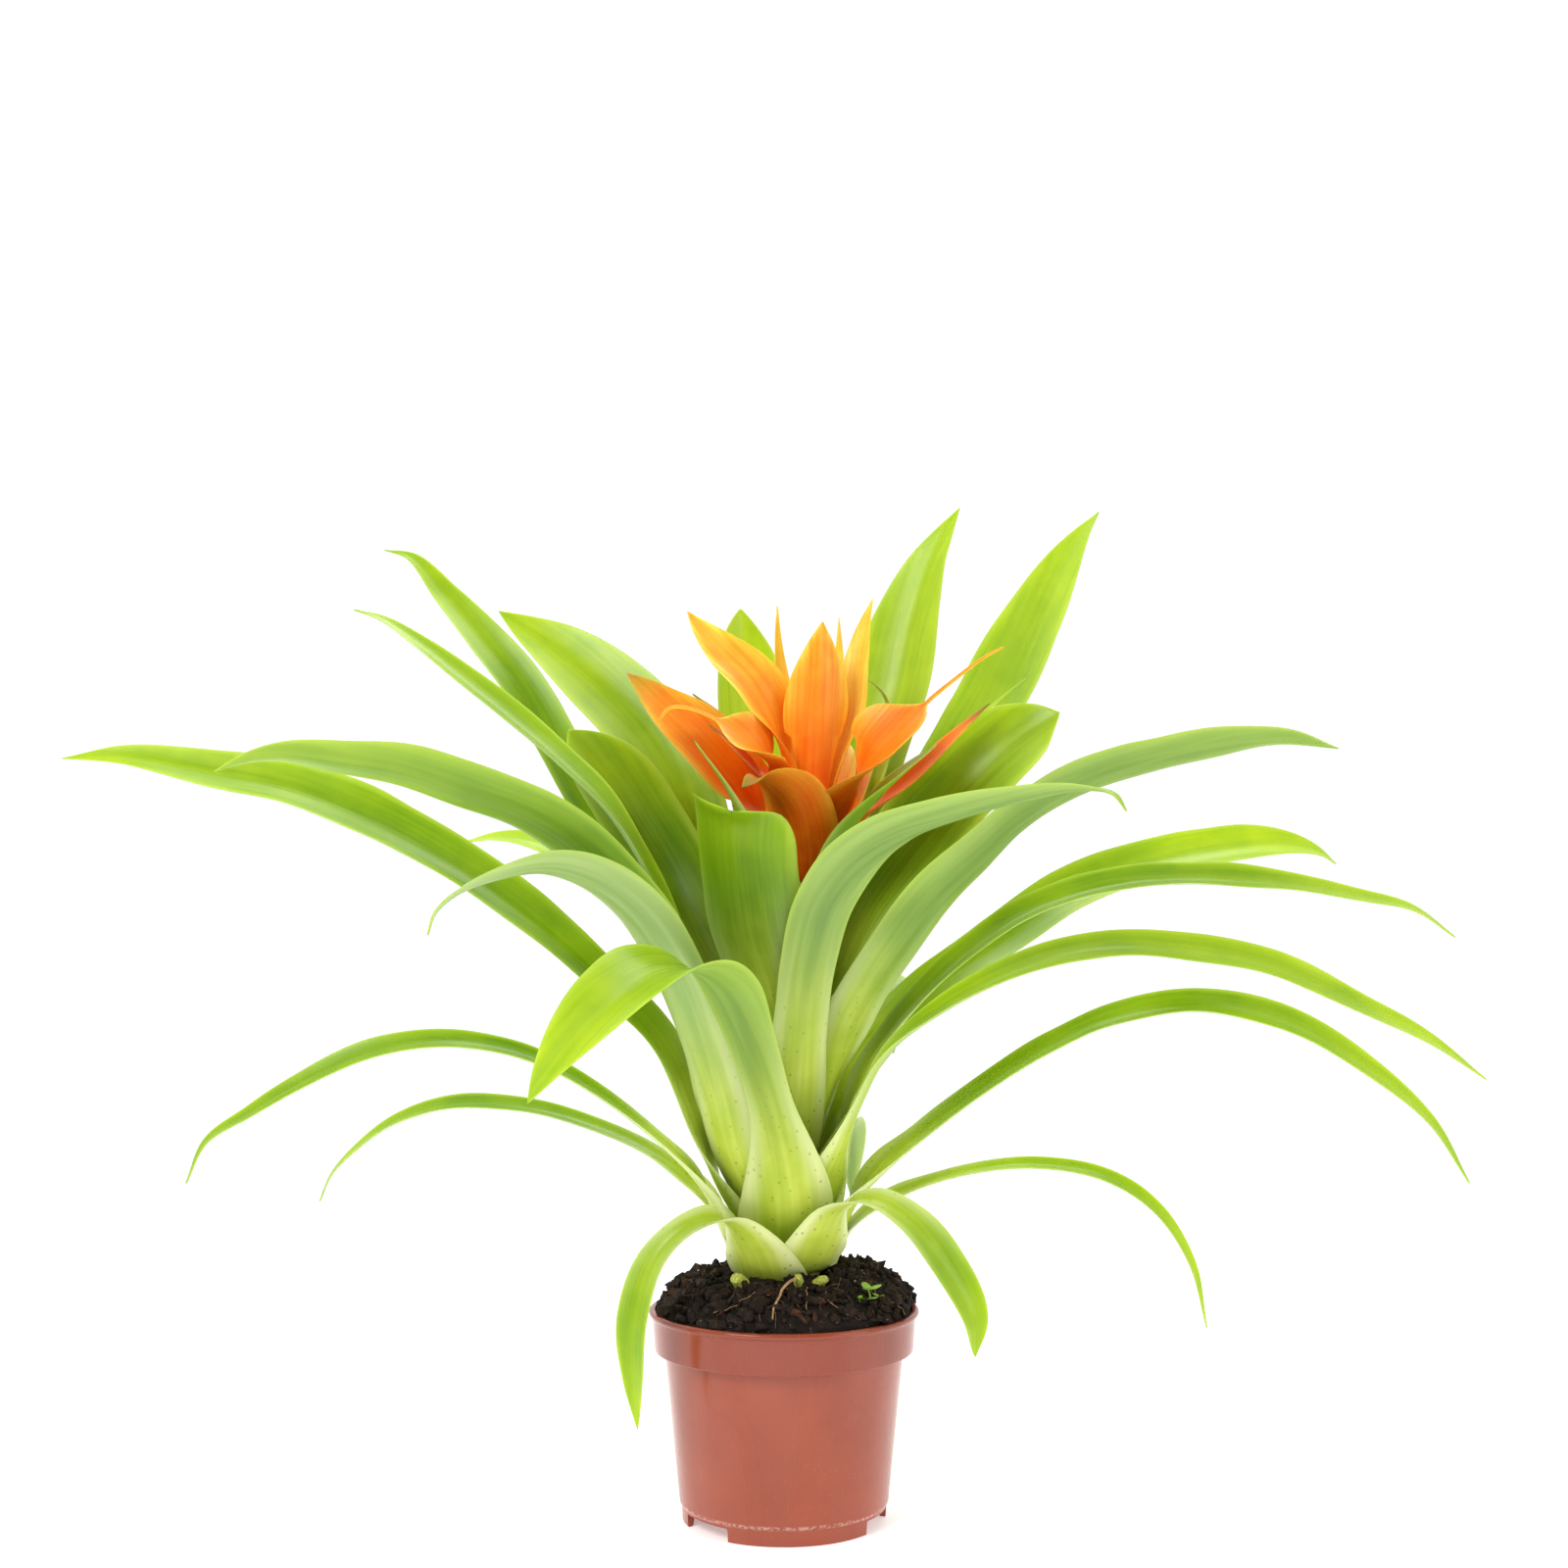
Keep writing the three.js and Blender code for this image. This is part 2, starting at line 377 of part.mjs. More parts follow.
// One moulding: floor, tapered wall, collar and rim, with a notched foot ring and drain holes.
function potGeometry() {
  const bodyTop = POT_HEIGHT - BAND_HEIGHT;
  const wall = turned(
    [
      [0, FLOOR_HEIGHT - WALL],
      [FOOT_RING_RADIUS - 4, FLOOR_HEIGHT - WALL],
      [FOOT_RING_RADIUS - 3, 0],
      [FOOT_RING_RADIUS - 0.4, 0],
      [FOOT_RING_RADIUS, FOOT_RING_HEIGHT - 1],
      [BODY_FOOT_RADIUS, FOOT_RING_HEIGHT],
      [BODY_TOP_RADIUS, bodyTop - 0.6],
      [BAND_FOOT_RADIUS, bodyTop],
      [RIM_RADIUS - 1.6, POT_HEIGHT - 2.5],
      [RIM_RADIUS, POT_HEIGHT - 2],
      [RIM_RADIUS, POT_HEIGHT - 0.5],
      [RIM_RADIUS - 0.8, POT_HEIGHT],
      [insideRadius(POT_HEIGHT), POT_HEIGHT],
      [insideRadius(bodyTop + 1), bodyTop + 1],
      [insideRadius(bodyTop), bodyTop - 1],
      [insideRadius(FLOOR_HEIGHT + 2), FLOOR_HEIGHT + 2],
      [insideRadius(FLOOR_HEIGHT) - 2, FLOOR_HEIGHT],
      [0, FLOOR_HEIGHT],
    ],
    POT_SIDES,
  );
  let pot = toSolid(wall);
  for (let i = 0; i < NOTCH_COUNT; i++) {
    const notch = new THREE.BoxGeometry(20, NOTCH_WIDTH, NOTCH_HEIGHT);
    notch.translate(FOOT_RING_RADIUS, 0, NOTCH_HEIGHT / 2 - 0.5);
    notch.rotateZ(radians(NOTCH_FIRST_BEARING + (i * 360) / NOTCH_COUNT));
    pot = pot.subtract(toSolid(notch));
  }
  for (let i = 0; i < DRAIN_COUNT; i++) {
    const drain = new THREE.CylinderGeometry(DRAIN_RADIUS, DRAIN_RADIUS, 10, 12);
    drain.rotateX(Math.PI / 2);
    drain.translate(DRAIN_PITCH_RADIUS, 0, FLOOR_HEIGHT);
    drain.rotateZ(radians((i * 360) / DRAIN_COUNT));
    pot = pot.subtract(toSolid(drain));
  }
  return fromSolid(pot);
}

// The root ball fills the pot and mounds up round the foot of the plant, which stands in a
// close-fitting well.
function soilGeometry() {
  const wellRadius = (z) => stemRadius(z) + GAP;
  return turned(
    [
      [0, FLOOR_HEIGHT + GAP],
      [insideRadius(FLOOR_HEIGHT) - 2 - GAP, FLOOR_HEIGHT + GAP],
      [insideRadius(FLOOR_HEIGHT + 4) - GAP, FLOOR_HEIGHT + 4],
      [insideRadius(70) - GAP, 70],
      [insideRadius(73) - GAP, 72.5],
      [insideRadius(73) - GAP, 78],
      [insideRadius(90) - 1.2, 90],
      [insideRadius(90) - 4, 93],
      [46, 99],
      [36, 104],
      [27.5, SOIL_TOP - 1],
      [25.5, SOIL_TOP - 1],
      [wellRadius(101) + 0.8, 101],
      [wellRadius(STEM_BOTTOM), STEM_BOTTOM],
      [0, STEM_BOTTOM - GAP],
    ],
    30,
  );
}

// The stem: a short thick stock that carries the leaves, and the flower stalk above it.
function stemGeometry() {
  const heights = STEM_RADII.map(([z]) => z).concat([268, 312]);
  const levels = heights.sort((a, b) => a - b);
  const profile = levels.map((z) => [stemRadius(z), z]);
  const geometry = turned([[0, STEM_BOTTOM], ...profile, [0, STEM_TOP]], 16);
  const position = geometry.attributes.position;
  for (let i = 0; i < position.count; i++) position.setX(i, position.getX(i) + stemCentre(position.getZ(i)));
  return geometry;
}

// A bare round strand along a curve.
function strandGeometry(points, radius, steps) {
  const section = new THREE.Shape().absarc(0, 0, radius, 0, 2 * Math.PI);
  const path = new THREE.CatmullRomCurve3(points.map(([x, y, z]) => new THREE.Vector3(x, y, z)));
  return new THREE.ExtrudeGeometry(section, { steps, curveSegments: 3, extrudePath: path });
}

// A self-sown seedling on the soil: a short stalk with a few flat round leaves.
function seedlingGeometry() {
  const [x, y, z] = SEEDLING_FOOT;
  let sprig = toSolid(strandGeometry([SEEDLING_FOOT, [x + 1, y, z + 4], [x, y, z + 8]], 0.6, 3));
  for (let i = 0; i < SEEDLING_LEAVES; i++) {
    const leaf = new THREE.SphereGeometry(1, 8, 5);
    leaf.scale(SEEDLING_LEAF_RADIUS, SEEDLING_LEAF_RADIUS * 0.8, 0.5);
    leaf.translate(SEEDLING_LEAF_RADIUS, 0, 0);
    leaf.rotateZ((i * 2 * Math.PI) / SEEDLING_LEAVES);
    leaf.translate(x, y, z + 7.6 - 1.2 * (i % 2));
    sprig = sprig.add(toSolid(leaf));
  }
  return fromSolid(sprig);
}

const leafMaterial = standardMaterial(COLOURS.leaf, 0.35);
const bractMaterial = standardMaterial(COLOURS.bract, 0.35);

const rosette = new THREE.Group();
for (const leaf of LEAVES) rosette.add(namedMesh(leaf.name, leafGeometry({ ...leaf, kind: LEAF }), leafMaterial));

const flower = new THREE.Group();
for (const bract of BRACTS) flower.add(namedMesh(bract.name, leafGeometry({ ...bract, kind: BRACT }), bractMaterial));

const bromeliad = new THREE.Group();
bromeliad.add(
  namedMesh("pot", potGeometry(), standardMaterial(COLOURS.pot, 0.4)),
  namedMesh("soil", soilGeometry(), standardMaterial(COLOURS.soil, 0.95)),
  namedMesh("stem", stemGeometry(), standardMaterial(COLOURS.stem, 0.5)),
  namedMesh("loose_root", strandGeometry(LOOSE_ROOT, LOOSE_ROOT_RADIUS, 10), standardMaterial(COLOURS.root, 0.8)),
  namedMesh("seedling", seedlingGeometry(), standardMaterial(COLOURS.seedling, 0.5)),
  rosette,
  flower,
);

export default bromeliad;
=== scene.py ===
"""A potted bromeliad: a rosette of strap leaves and a star of orange bracts in a moulded
nursery pot. Lengths in the tables are millimetres; every mesh is made in metres, Z up, with
its place in its points."""
from dataclasses import dataclass, field
from math import pi, radians

import bpy
import numpy as np
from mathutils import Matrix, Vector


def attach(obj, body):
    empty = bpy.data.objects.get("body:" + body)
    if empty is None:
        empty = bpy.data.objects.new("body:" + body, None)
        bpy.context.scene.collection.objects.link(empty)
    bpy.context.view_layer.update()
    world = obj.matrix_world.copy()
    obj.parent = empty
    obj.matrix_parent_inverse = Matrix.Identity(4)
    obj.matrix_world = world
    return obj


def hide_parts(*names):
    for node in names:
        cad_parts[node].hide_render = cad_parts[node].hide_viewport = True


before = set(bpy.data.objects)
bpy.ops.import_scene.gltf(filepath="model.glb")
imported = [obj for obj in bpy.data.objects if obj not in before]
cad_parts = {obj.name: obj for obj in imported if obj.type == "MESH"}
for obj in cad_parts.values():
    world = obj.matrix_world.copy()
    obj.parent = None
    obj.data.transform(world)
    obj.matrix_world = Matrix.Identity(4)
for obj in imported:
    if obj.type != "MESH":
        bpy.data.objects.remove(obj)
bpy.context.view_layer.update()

MM = 0.001
TURN = 2 * pi

# The pot.
POT_HEIGHT = 93
RIM_RADIUS = 60
WALL = 1.4
BAND_HEIGHT = 18
BAND_TOP = POT_HEIGHT - BAND_HEIGHT
BAND_FOOT_RADIUS = 57.5
BODY_TOP_RADIUS = 53
BODY_FOOT_RADIUS = 46.4
FOOT_RING_RADIUS = 45.5
FOOT_RING_HEIGHT = 8
FLOOR_HEIGHT = 7
MOULD_BEARINGS = (-74.5, 105.5)
NOTCH_BEARINGS = (-140, -20, 100)
DRAIN_BEARINGS = (0, 90, 180, 270)

# The plant.
STEM_LEAN = 13
LEAN_START, LEAN_END = 200, 330
STEM_HEIGHTS = (84, 108, 138, 198, 238, 300, 326)
STEM_RADII = (14, 19, 16, 10, 7, 5.5, 4)
ROOT_CLEARANCE = 1.7
SHEATH_LENGTH = 46
SHEATH_FLARE = 74  # over which its width draws in to the neck
SHEATH_SPREAD = 1.25  # width of the sheath over the arc of stem that it wraps
ROOT_THICKNESS, TIP_THICKNESS = 1.6, 0.9


@dataclass
class Blade:
    """One leaf or bract: where it grows (bearing in degrees, height), the route of its
    middle line, its width, the degrees it wraps the stem each way, its roll and cupping in
    degrees, how blunt its tip is, and its looks from 0 to 1."""

    name: str
    root: tuple
    route: list
    width: float
    wrap: float
    roll: float
    cup: float
    blunt: float
    neck: float = 0.78  # narrowest width over widest
    thread: float = 0  # share of the length that is a thin drawn-out tip
    crease: float = 0.16  # depth of the fold along the middle, over half the width
    ripple: float = 0.5  # waviness of the margins
    notch: float = 0  # depth of a nick in the tip
    deep_and_shade: float = 0  # dark saturated green, or dark red on a bract, partly the blade's own colour and partly painted shade
    lime: float = 0  # yellow-green, or yellow on a bract
    pale: float = 0  # bleached underside
    even: float = 0  # underside as green as the upper side
    spoilt: float = 0  # brown or green discoloured tip


LEAVES = [
    Blade("front_left_low", root=(-114, 104), width=17, wrap=50, roll=-20, cup=30, blunt=2.0, lime=0.35,
          pale=0.9,
          route=[(-15, -31, 125), (-26, -37, 137), (-40, -41, 135), (-54, -44, 122), (-62, -46, 98),
                 (-63, -45, 72), (-62, -43, 49)]),
    Blade("front_right_low", root=(-60, 111), width=19, wrap=46, roll=20, cup=28, blunt=3.2, deep_and_shade=0.2,
          lime=0.3, pale=0.4,
          route=[(16, -30, 126), (24, -36, 142), (38, -42, 146), (54, -48, 137), (68, -52, 119),
                 (79, -54, 98), (80, -53, 82)]),
    Blade("right_thin", root=(2, 106), width=10, wrap=28, roll=30, cup=30, blunt=2.0, lime=0.55, pale=0.6,
          route=[(30, 0, 128), (50, -4, 143), (76, -9, 153), (107, -16, 158), (138, -26, 154),
                 (159, -34, 141), (173, -40, 119), (179, -44, 92)]),
    Blade("left_low_back", root=(168, 106), width=12, wrap=28, roll=-30, cup=30, blunt=2.0, deep_and_shade=0.1,
          lime=0.3, pale=0.6,
          route=[(-32, 5, 136), (-45, 11, 149), (-63, 20, 161), (-96, 30, 173), (-123, 38, 178),
                 (-155, 47, 178), (-184, 55, 169), (-203, 60, 156), (-216, 64, 143), (-222, 66, 130)]),
    Blade("back_low", root=(108, 108), width=20, wrap=36, roll=0, cup=28, blunt=1.8, deep_and_shade=0.3, lime=0.1,
          pale=0.4,
          route=[(-9, 33, 136), (-12, 50, 157), (-14, 72, 169), (-15, 95, 165), (-16, 114, 148),
                 (-16, 128, 122)]),
    Blade("back_right_low", root=(52, 109), width=18, wrap=26, roll=0, cup=28, blunt=1.8, deep_and_shade=0.3,
          lime=0.1, pale=0.4,
          route=[(21, 25, 137), (25, 42, 156), (28, 64, 167), (31, 88, 164), (33, 108, 148),
                 (34, 124, 124)]),
    Blade("left_low_front", root=(206, 114), width=15, wrap=36, roll=-30, cup=30, blunt=1.8, deep_and_shade=0.2,
          lime=0.25, pale=0.5,
          route=[(-29, -16, 137), (-42, -22, 157), (-66, -30, 180), (-88, -36, 196), (-105, -39, 205),
                 (-125, -41, 211), (-150, -43, 213), (-177, -44, 208), (-203, -44, 196),
                 (-226, -43, 183), (-245, -42, 171), (-254, -41, 153)]),
    Blade("right_low", root=(-18, 113), width=20, wrap=50, roll=30, cup=30, blunt=1.8, deep_and_shade=0.1, lime=0.4,
          pale=0.5, even=0.4,
          route=[(30, -11, 138), (44, -13, 156), (62, -15, 172), (88, -18, 192), (116, -24, 210),
                 (141, -30, 222), (175, -38, 228), (211, -46, 221), (243, -53, 203), (269, -58, 181),
                 (284, -62, 156)]),
    Blade("front_folded", root=(-86, 122), width=42, neck=0.5, wrap=62, roll=-10, cup=26, blunt=2.0,
          deep_and_shade=0.45, lime=0.45, pale=0.15, even=0.0,
          route=[(1, -32, 145), (-3, -40, 172), (-10, -48, 198), (-18, -56, 220), (-26, -65, 236),
                 (-36, -77, 244), (-49, -90, 244), (-63, -104, 236), (-78, -117, 222), (-90, -128, 207),
                 (-97, -135, 196)]),
    Blade("left_long", root=(188, 128), width=28, wrap=44, roll=-50, cup=26, blunt=2.2, deep_and_shade=0.3, lime=0.35,
          pale=0.5, even=0.6,
          route=[(-31, -9, 152), (-41, -15, 182), (-53, -21, 210), (-76, -27, 236), (-101, -30, 259),
                 (-127, -31, 279), (-156, -32, 297), (-184, -33, 311), (-215, -34, 322),
                 (-250, -35, 329), (-282, -36, 335), (-308, -38, 334)]),
    Blade("back_long", root=(90, 126), width=28, wrap=44, roll=0, cup=26, blunt=2.1, deep_and_shade=0.4, lime=0.1,
          pale=0.4,
          route=[(0, 30, 156), (1, 42, 190), (4, 56, 222), (8, 76, 246), (12, 97, 256), (16, 118, 252),
                 (20, 135, 240)]),
    Blade("left_bent", root=(232, 135), width=31, wrap=46, roll=15, cup=26, blunt=2.0, deep_and_shade=0.15, lime=0.6,
          pale=0.8,
          route=[(-22, -24, 162), (-29, -31, 190), (-38, -39, 219), (-47, -49, 244), (-60, -59, 265),
                 (-77, -68, 279), (-96, -76, 285), (-115, -83, 282), (-130, -89, 276), (-139, -92, 268),
                 (-142, -94, 259)]),
    Blade("right_middle", root=(-42, 130), width=22, wrap=54, roll=34, cup=28, blunt=1.9, deep_and_shade=0.1,
          lime=0.5, pale=0.4, even=0.3,
          route=[(24, -22, 160), (33, -30, 186), (45, -37, 209), (66, -39, 226), (102, -36, 244),
                 (137, -32, 252), (173, -28, 251), (211, -24, 244), (251, -20, 227), (281, -17, 213),
                 (308, -14, 195)]),
    Blade("back_left", root=(124, 134), width=25, wrap=36, roll=0, cup=26, blunt=2.1, deep_and_shade=0.4, lime=0.1,
          pale=0.4,
          route=[(-15, 25, 164), (-21, 37, 194), (-27, 59, 217), (-34, 82, 227), (-40, 104, 220),
                 (-44, 122, 203), (-46, 134, 180)]),
    Blade("back_right", root=(52, 137), width=25, wrap=40, roll=0, cup=26, blunt=2.1, deep_and_shade=0.4, lime=0.1,
          pale=0.4,
          route=[(19, 24, 166), (26, 36, 196), (36, 54, 221), (44, 78, 233), (50, 101, 229),
                 (54, 120, 216), (56, 134, 196)]),
    Blade("left_second", root=(214, 142), width=30, wrap=48, roll=32, cup=26, blunt=2.3, deep_and_shade=0.3, lime=0.3,
          pale=0.2, even=0.5,
          route=[(-26, -22.5, 178), (-34, -31.5, 211), (-46, -40.5, 243), (-62, -46, 269),
                 (-82, -54, 291), (-103, -62, 306), (-129, -70, 316), (-153, -78, 324), (-177, -85, 328),
                 (-200, -91, 331), (-214, -95, 329), (-226, -98, 324)]),
    Blade("right_high", root=(-6, 145), width=21, wrap=48, roll=32, cup=28, blunt=1.8, deep_and_shade=0.2, lime=0.4,
          pale=0.5, even=0.3,
          route=[(29, -8, 178), (40, -10, 205), (61, -9, 232), (87, -4, 255), (115, 0, 271),
                 (151, 4, 281), (178, 7, 283), (221, 11, 281), (261, 14, 275), (285, 16, 270),
                 (305, 18, 257)]),
    Blade("left_back_low", root=(150, 148), width=20, wrap=46, roll=-30, cup=26, blunt=2.6, deep_and_shade=0.1,
          lime=0.7, pale=0.5,
          route=[(-27, 14, 184), (-37, 19, 216), (-50, 26, 246), (-68, 34, 269), (-91, 44, 289),
                 (-115, 54, 300), (-136, 62, 304), (-154, 68, 302)]),
    Blade("right_lime", root=(34, 151), width=28, wrap=40, roll=40, cup=24, blunt=4, lime=0.8, pale=0.4,
          even=0.7,
          route=[(24, 16, 184), (41, 21, 208), (66, 31, 232), (99, 43, 254), (134, 56, 276),
                 (171, 68, 290), (209, 79, 298), (243, 88, 301), (262, 92, 298), (272, 94, 292)]),
    Blade("left_upper", root=(198, 158), width=20, wrap=34, roll=-38, cup=30, blunt=2.0, deep_and_shade=0.3, lime=0.3,
          pale=0.4, even=0.5,
          route=[(-25.4, -13.1, 192), (-33.7, -27, 222), (-44.7, -34, 256), (-61, -37, 290),
                 (-77, -33, 314), (-95, -29, 332), (-119, -23, 353), (-140, -18, 370), (-160, -14, 386),
                 (-176, -11, 397), (-190, -8, 402)]),
    Blade("left_upper_back", root=(156, 167), width=23, wrap=34, roll=-42, cup=28, blunt=2.0, deep_and_shade=0.35,
          lime=0.3, pale=0.3, even=0.5,
          route=[(-28, 9, 198), (-40, 13, 232), (-55, 20, 260), (-72, 28, 287), (-91, 37, 317),
                 (-108, 47, 348), (-125, 57, 376), (-143, 66, 398), (-163, 76, 421), (-181, 84, 441),
                 (-196, 90, 446)]),
    Blade("front_arched", root=(-78, 162), width=31, wrap=48, roll=0, cup=30, blunt=2.0, deep_and_shade=0.3, lime=0.2,
          pale=0.35,
          route=[(6, -28, 196), (8, -37, 222), (11, -46, 246), (17, -54, 269), (29, -62, 286),
                 (46, -71, 298), (68, -79, 306), (94, -88, 313), (119, -96, 317), (130, -100, 315),
                 (135, -103, 308)]),
    Blade("back_right_upright", root=(48, 166), width=20, wrap=42, roll=10, cup=26, blunt=2, deep_and_shade=0.4,
          lime=0.3, pale=0.4,
          route=[(22, 20, 200), (38, 28, 226), (54, 32, 248), (63, 34, 270), (63, 35, 290), (60, 34, 306)]),
    Blade("right_upper", root=(-28, 170), width=29, wrap=44, roll=-34, cup=26, blunt=2.2, deep_and_shade=0.3,
          lime=0.2, pale=0.45, even=0.35,
          route=[(22, -16, 202), (31, -27.5, 226.5), (47.5, -34.5, 252.5), (64, -31, 273.8),
                 (85, -19, 292), (107, -6, 310), (135, 9, 325), (172, 20, 337), (202, 25, 344),
                 (230, 29, 348), (256, 32, 344)]),
    Blade("inner_left", root=(183, 178.6), width=45, wrap=30, roll=-56, cup=22, blunt=4.5, deep_and_shade=0.85,
          lime=0.15, pale=0.3, even=0.8,
          route=[(-22.1, -10.4, 212), (-28.7, -4, 238), (-39, -7, 260), (-50, -9, 282), (-63, -8, 303),
                 (-76, -8, 324), (-87, -8, 339), (-95, -9, 349)]),
    Blade("front_notched", root=(-100, 184), neck=0.66, width=54, wrap=42, roll=0, cup=34, blunt=8,
          notch=4.5, deep_and_shade=1, lime=0.05, pale=0.3, even=1,
          route=[(-6, -22, 212), (-11, -30, 236), (-17, -37, 257), (-20, -43, 277), (-22, -49, 295),
                 (-22, -55, 306), (-22, -64, 311)]),
    Blade("inner_right", root=(-35, 188), width=44, wrap=34, roll=60, cup=22, blunt=5, deep_and_shade=0.6, lime=0.25,
          pale=0.4, even=0.8,
          route=[(17.8, -13.3, 218), (26, -11, 245), (39.2, -5, 273), (56.8, -1, 297), (76, -2.5, 319),
                 (95, -3, 338), (112, -3, 351), (122, -5, 357)]),
    Blade("left_back_broad", root=(150, 192), width=40, wrap=24, roll=-50, cup=22, blunt=2.4, deep_and_shade=0.3,
          lime=0.4, pale=0.7, even=0.5,
          route=[(-22.5, 17.6, 226), (-34.2, 16.2, 266), (-41.3, 25.3, 304), (-51, 32, 332),
                 (-67, 42, 356), (-87, 52, 376), (-106, 60, 392), (-122, 65, 403), (-137, 69, 413)]),
    Blade("back_right_tall", root=(31, 194.6), width=44, wrap=28, roll=20, cup=20, blunt=1.9, deep_and_shade=0.05,
          lime=0.6, pale=0.4, even=0.7,
          route=[(23.8, 10.6, 226), (41.8, 13.6, 266), (60.8, 23.6, 305), (83, 37, 339), (102, 51, 370),
                 (117, 62, 400), (131, 71, 429), (143, 77, 450), (153, 80, 463)]),
    Blade("back_tall", root=(83.5, 198.4), width=41, wrap=30, roll=8, cup=20, blunt=1.9, deep_and_shade=0.05,
          lime=0.7, pale=0.4, even=0.7,
          route=[(4.2, 30.3, 238), (15.7, 40.4, 274), (31, 47, 310), (42, 54, 345), (52, 60, 373),
                 (59, 67, 403), (69, 72, 434), (78, 74, 452), (85, 76, 464)]),
    Blade("back_high", root=(92, 180), width=26, wrap=40, roll=0, cup=26, blunt=2.1, deep_and_shade=0.4, lime=0.2,
          pale=0.4,
          route=[(-2, 22, 208), (-3, 36, 242), (-1, 55, 272), (2, 78, 294), (5, 101, 303), (7, 120, 300),
                 (9, 134, 291)]),
    Blade("back_rounded", root=(112, 203), width=37, wrap=32, roll=0, cup=20, blunt=4, deep_and_shade=0.1, lime=0.75,
          pale=0.5, even=0.9,
          route=[(-3.5, 15.2, 244), (-6.8, 32.4, 282), (-11.8, 47.4, 319), (-16, 59, 352),
                 (-18, 67, 381), (-20, 71, 400), (-21, 73, 415)]),
    Blade("inner_front_right", root=(-58, 208), width=25, wrap=40, roll=40, cup=24, blunt=1.8, deep_and_shade=0.5,
          lime=0.3, pale=0.3, even=0.8,
          route=[(9, -14, 244), (14, -21.5, 270), (23, -26.5, 294), (37, -28, 314), (52, -29, 329),
                 (66, -28, 341)]),
    Blade("inner_pale", root=(60, 214), width=9, wrap=26, roll=0, cup=20, blunt=1.6, lime=0.9, pale=0.6,
          route=[(16, 15, 262), (30, 17, 296), (43, 17, 326), (49, 17, 350), (46, 16, 366), (37, 14, 375)]),
    Blade("inner_narrow", root=(4, 222), width=8, wrap=23, roll=20, cup=24, blunt=1.5, deep_and_shade=0.2, lime=0.5,
          pale=0.5,
          route=[(20.2, 10.9, 258), (39.7, 16.2, 290), (66.7, 19.2, 330), (83, 18, 350), (97, 18, 364),
                 (110, 17, 375)]),
]
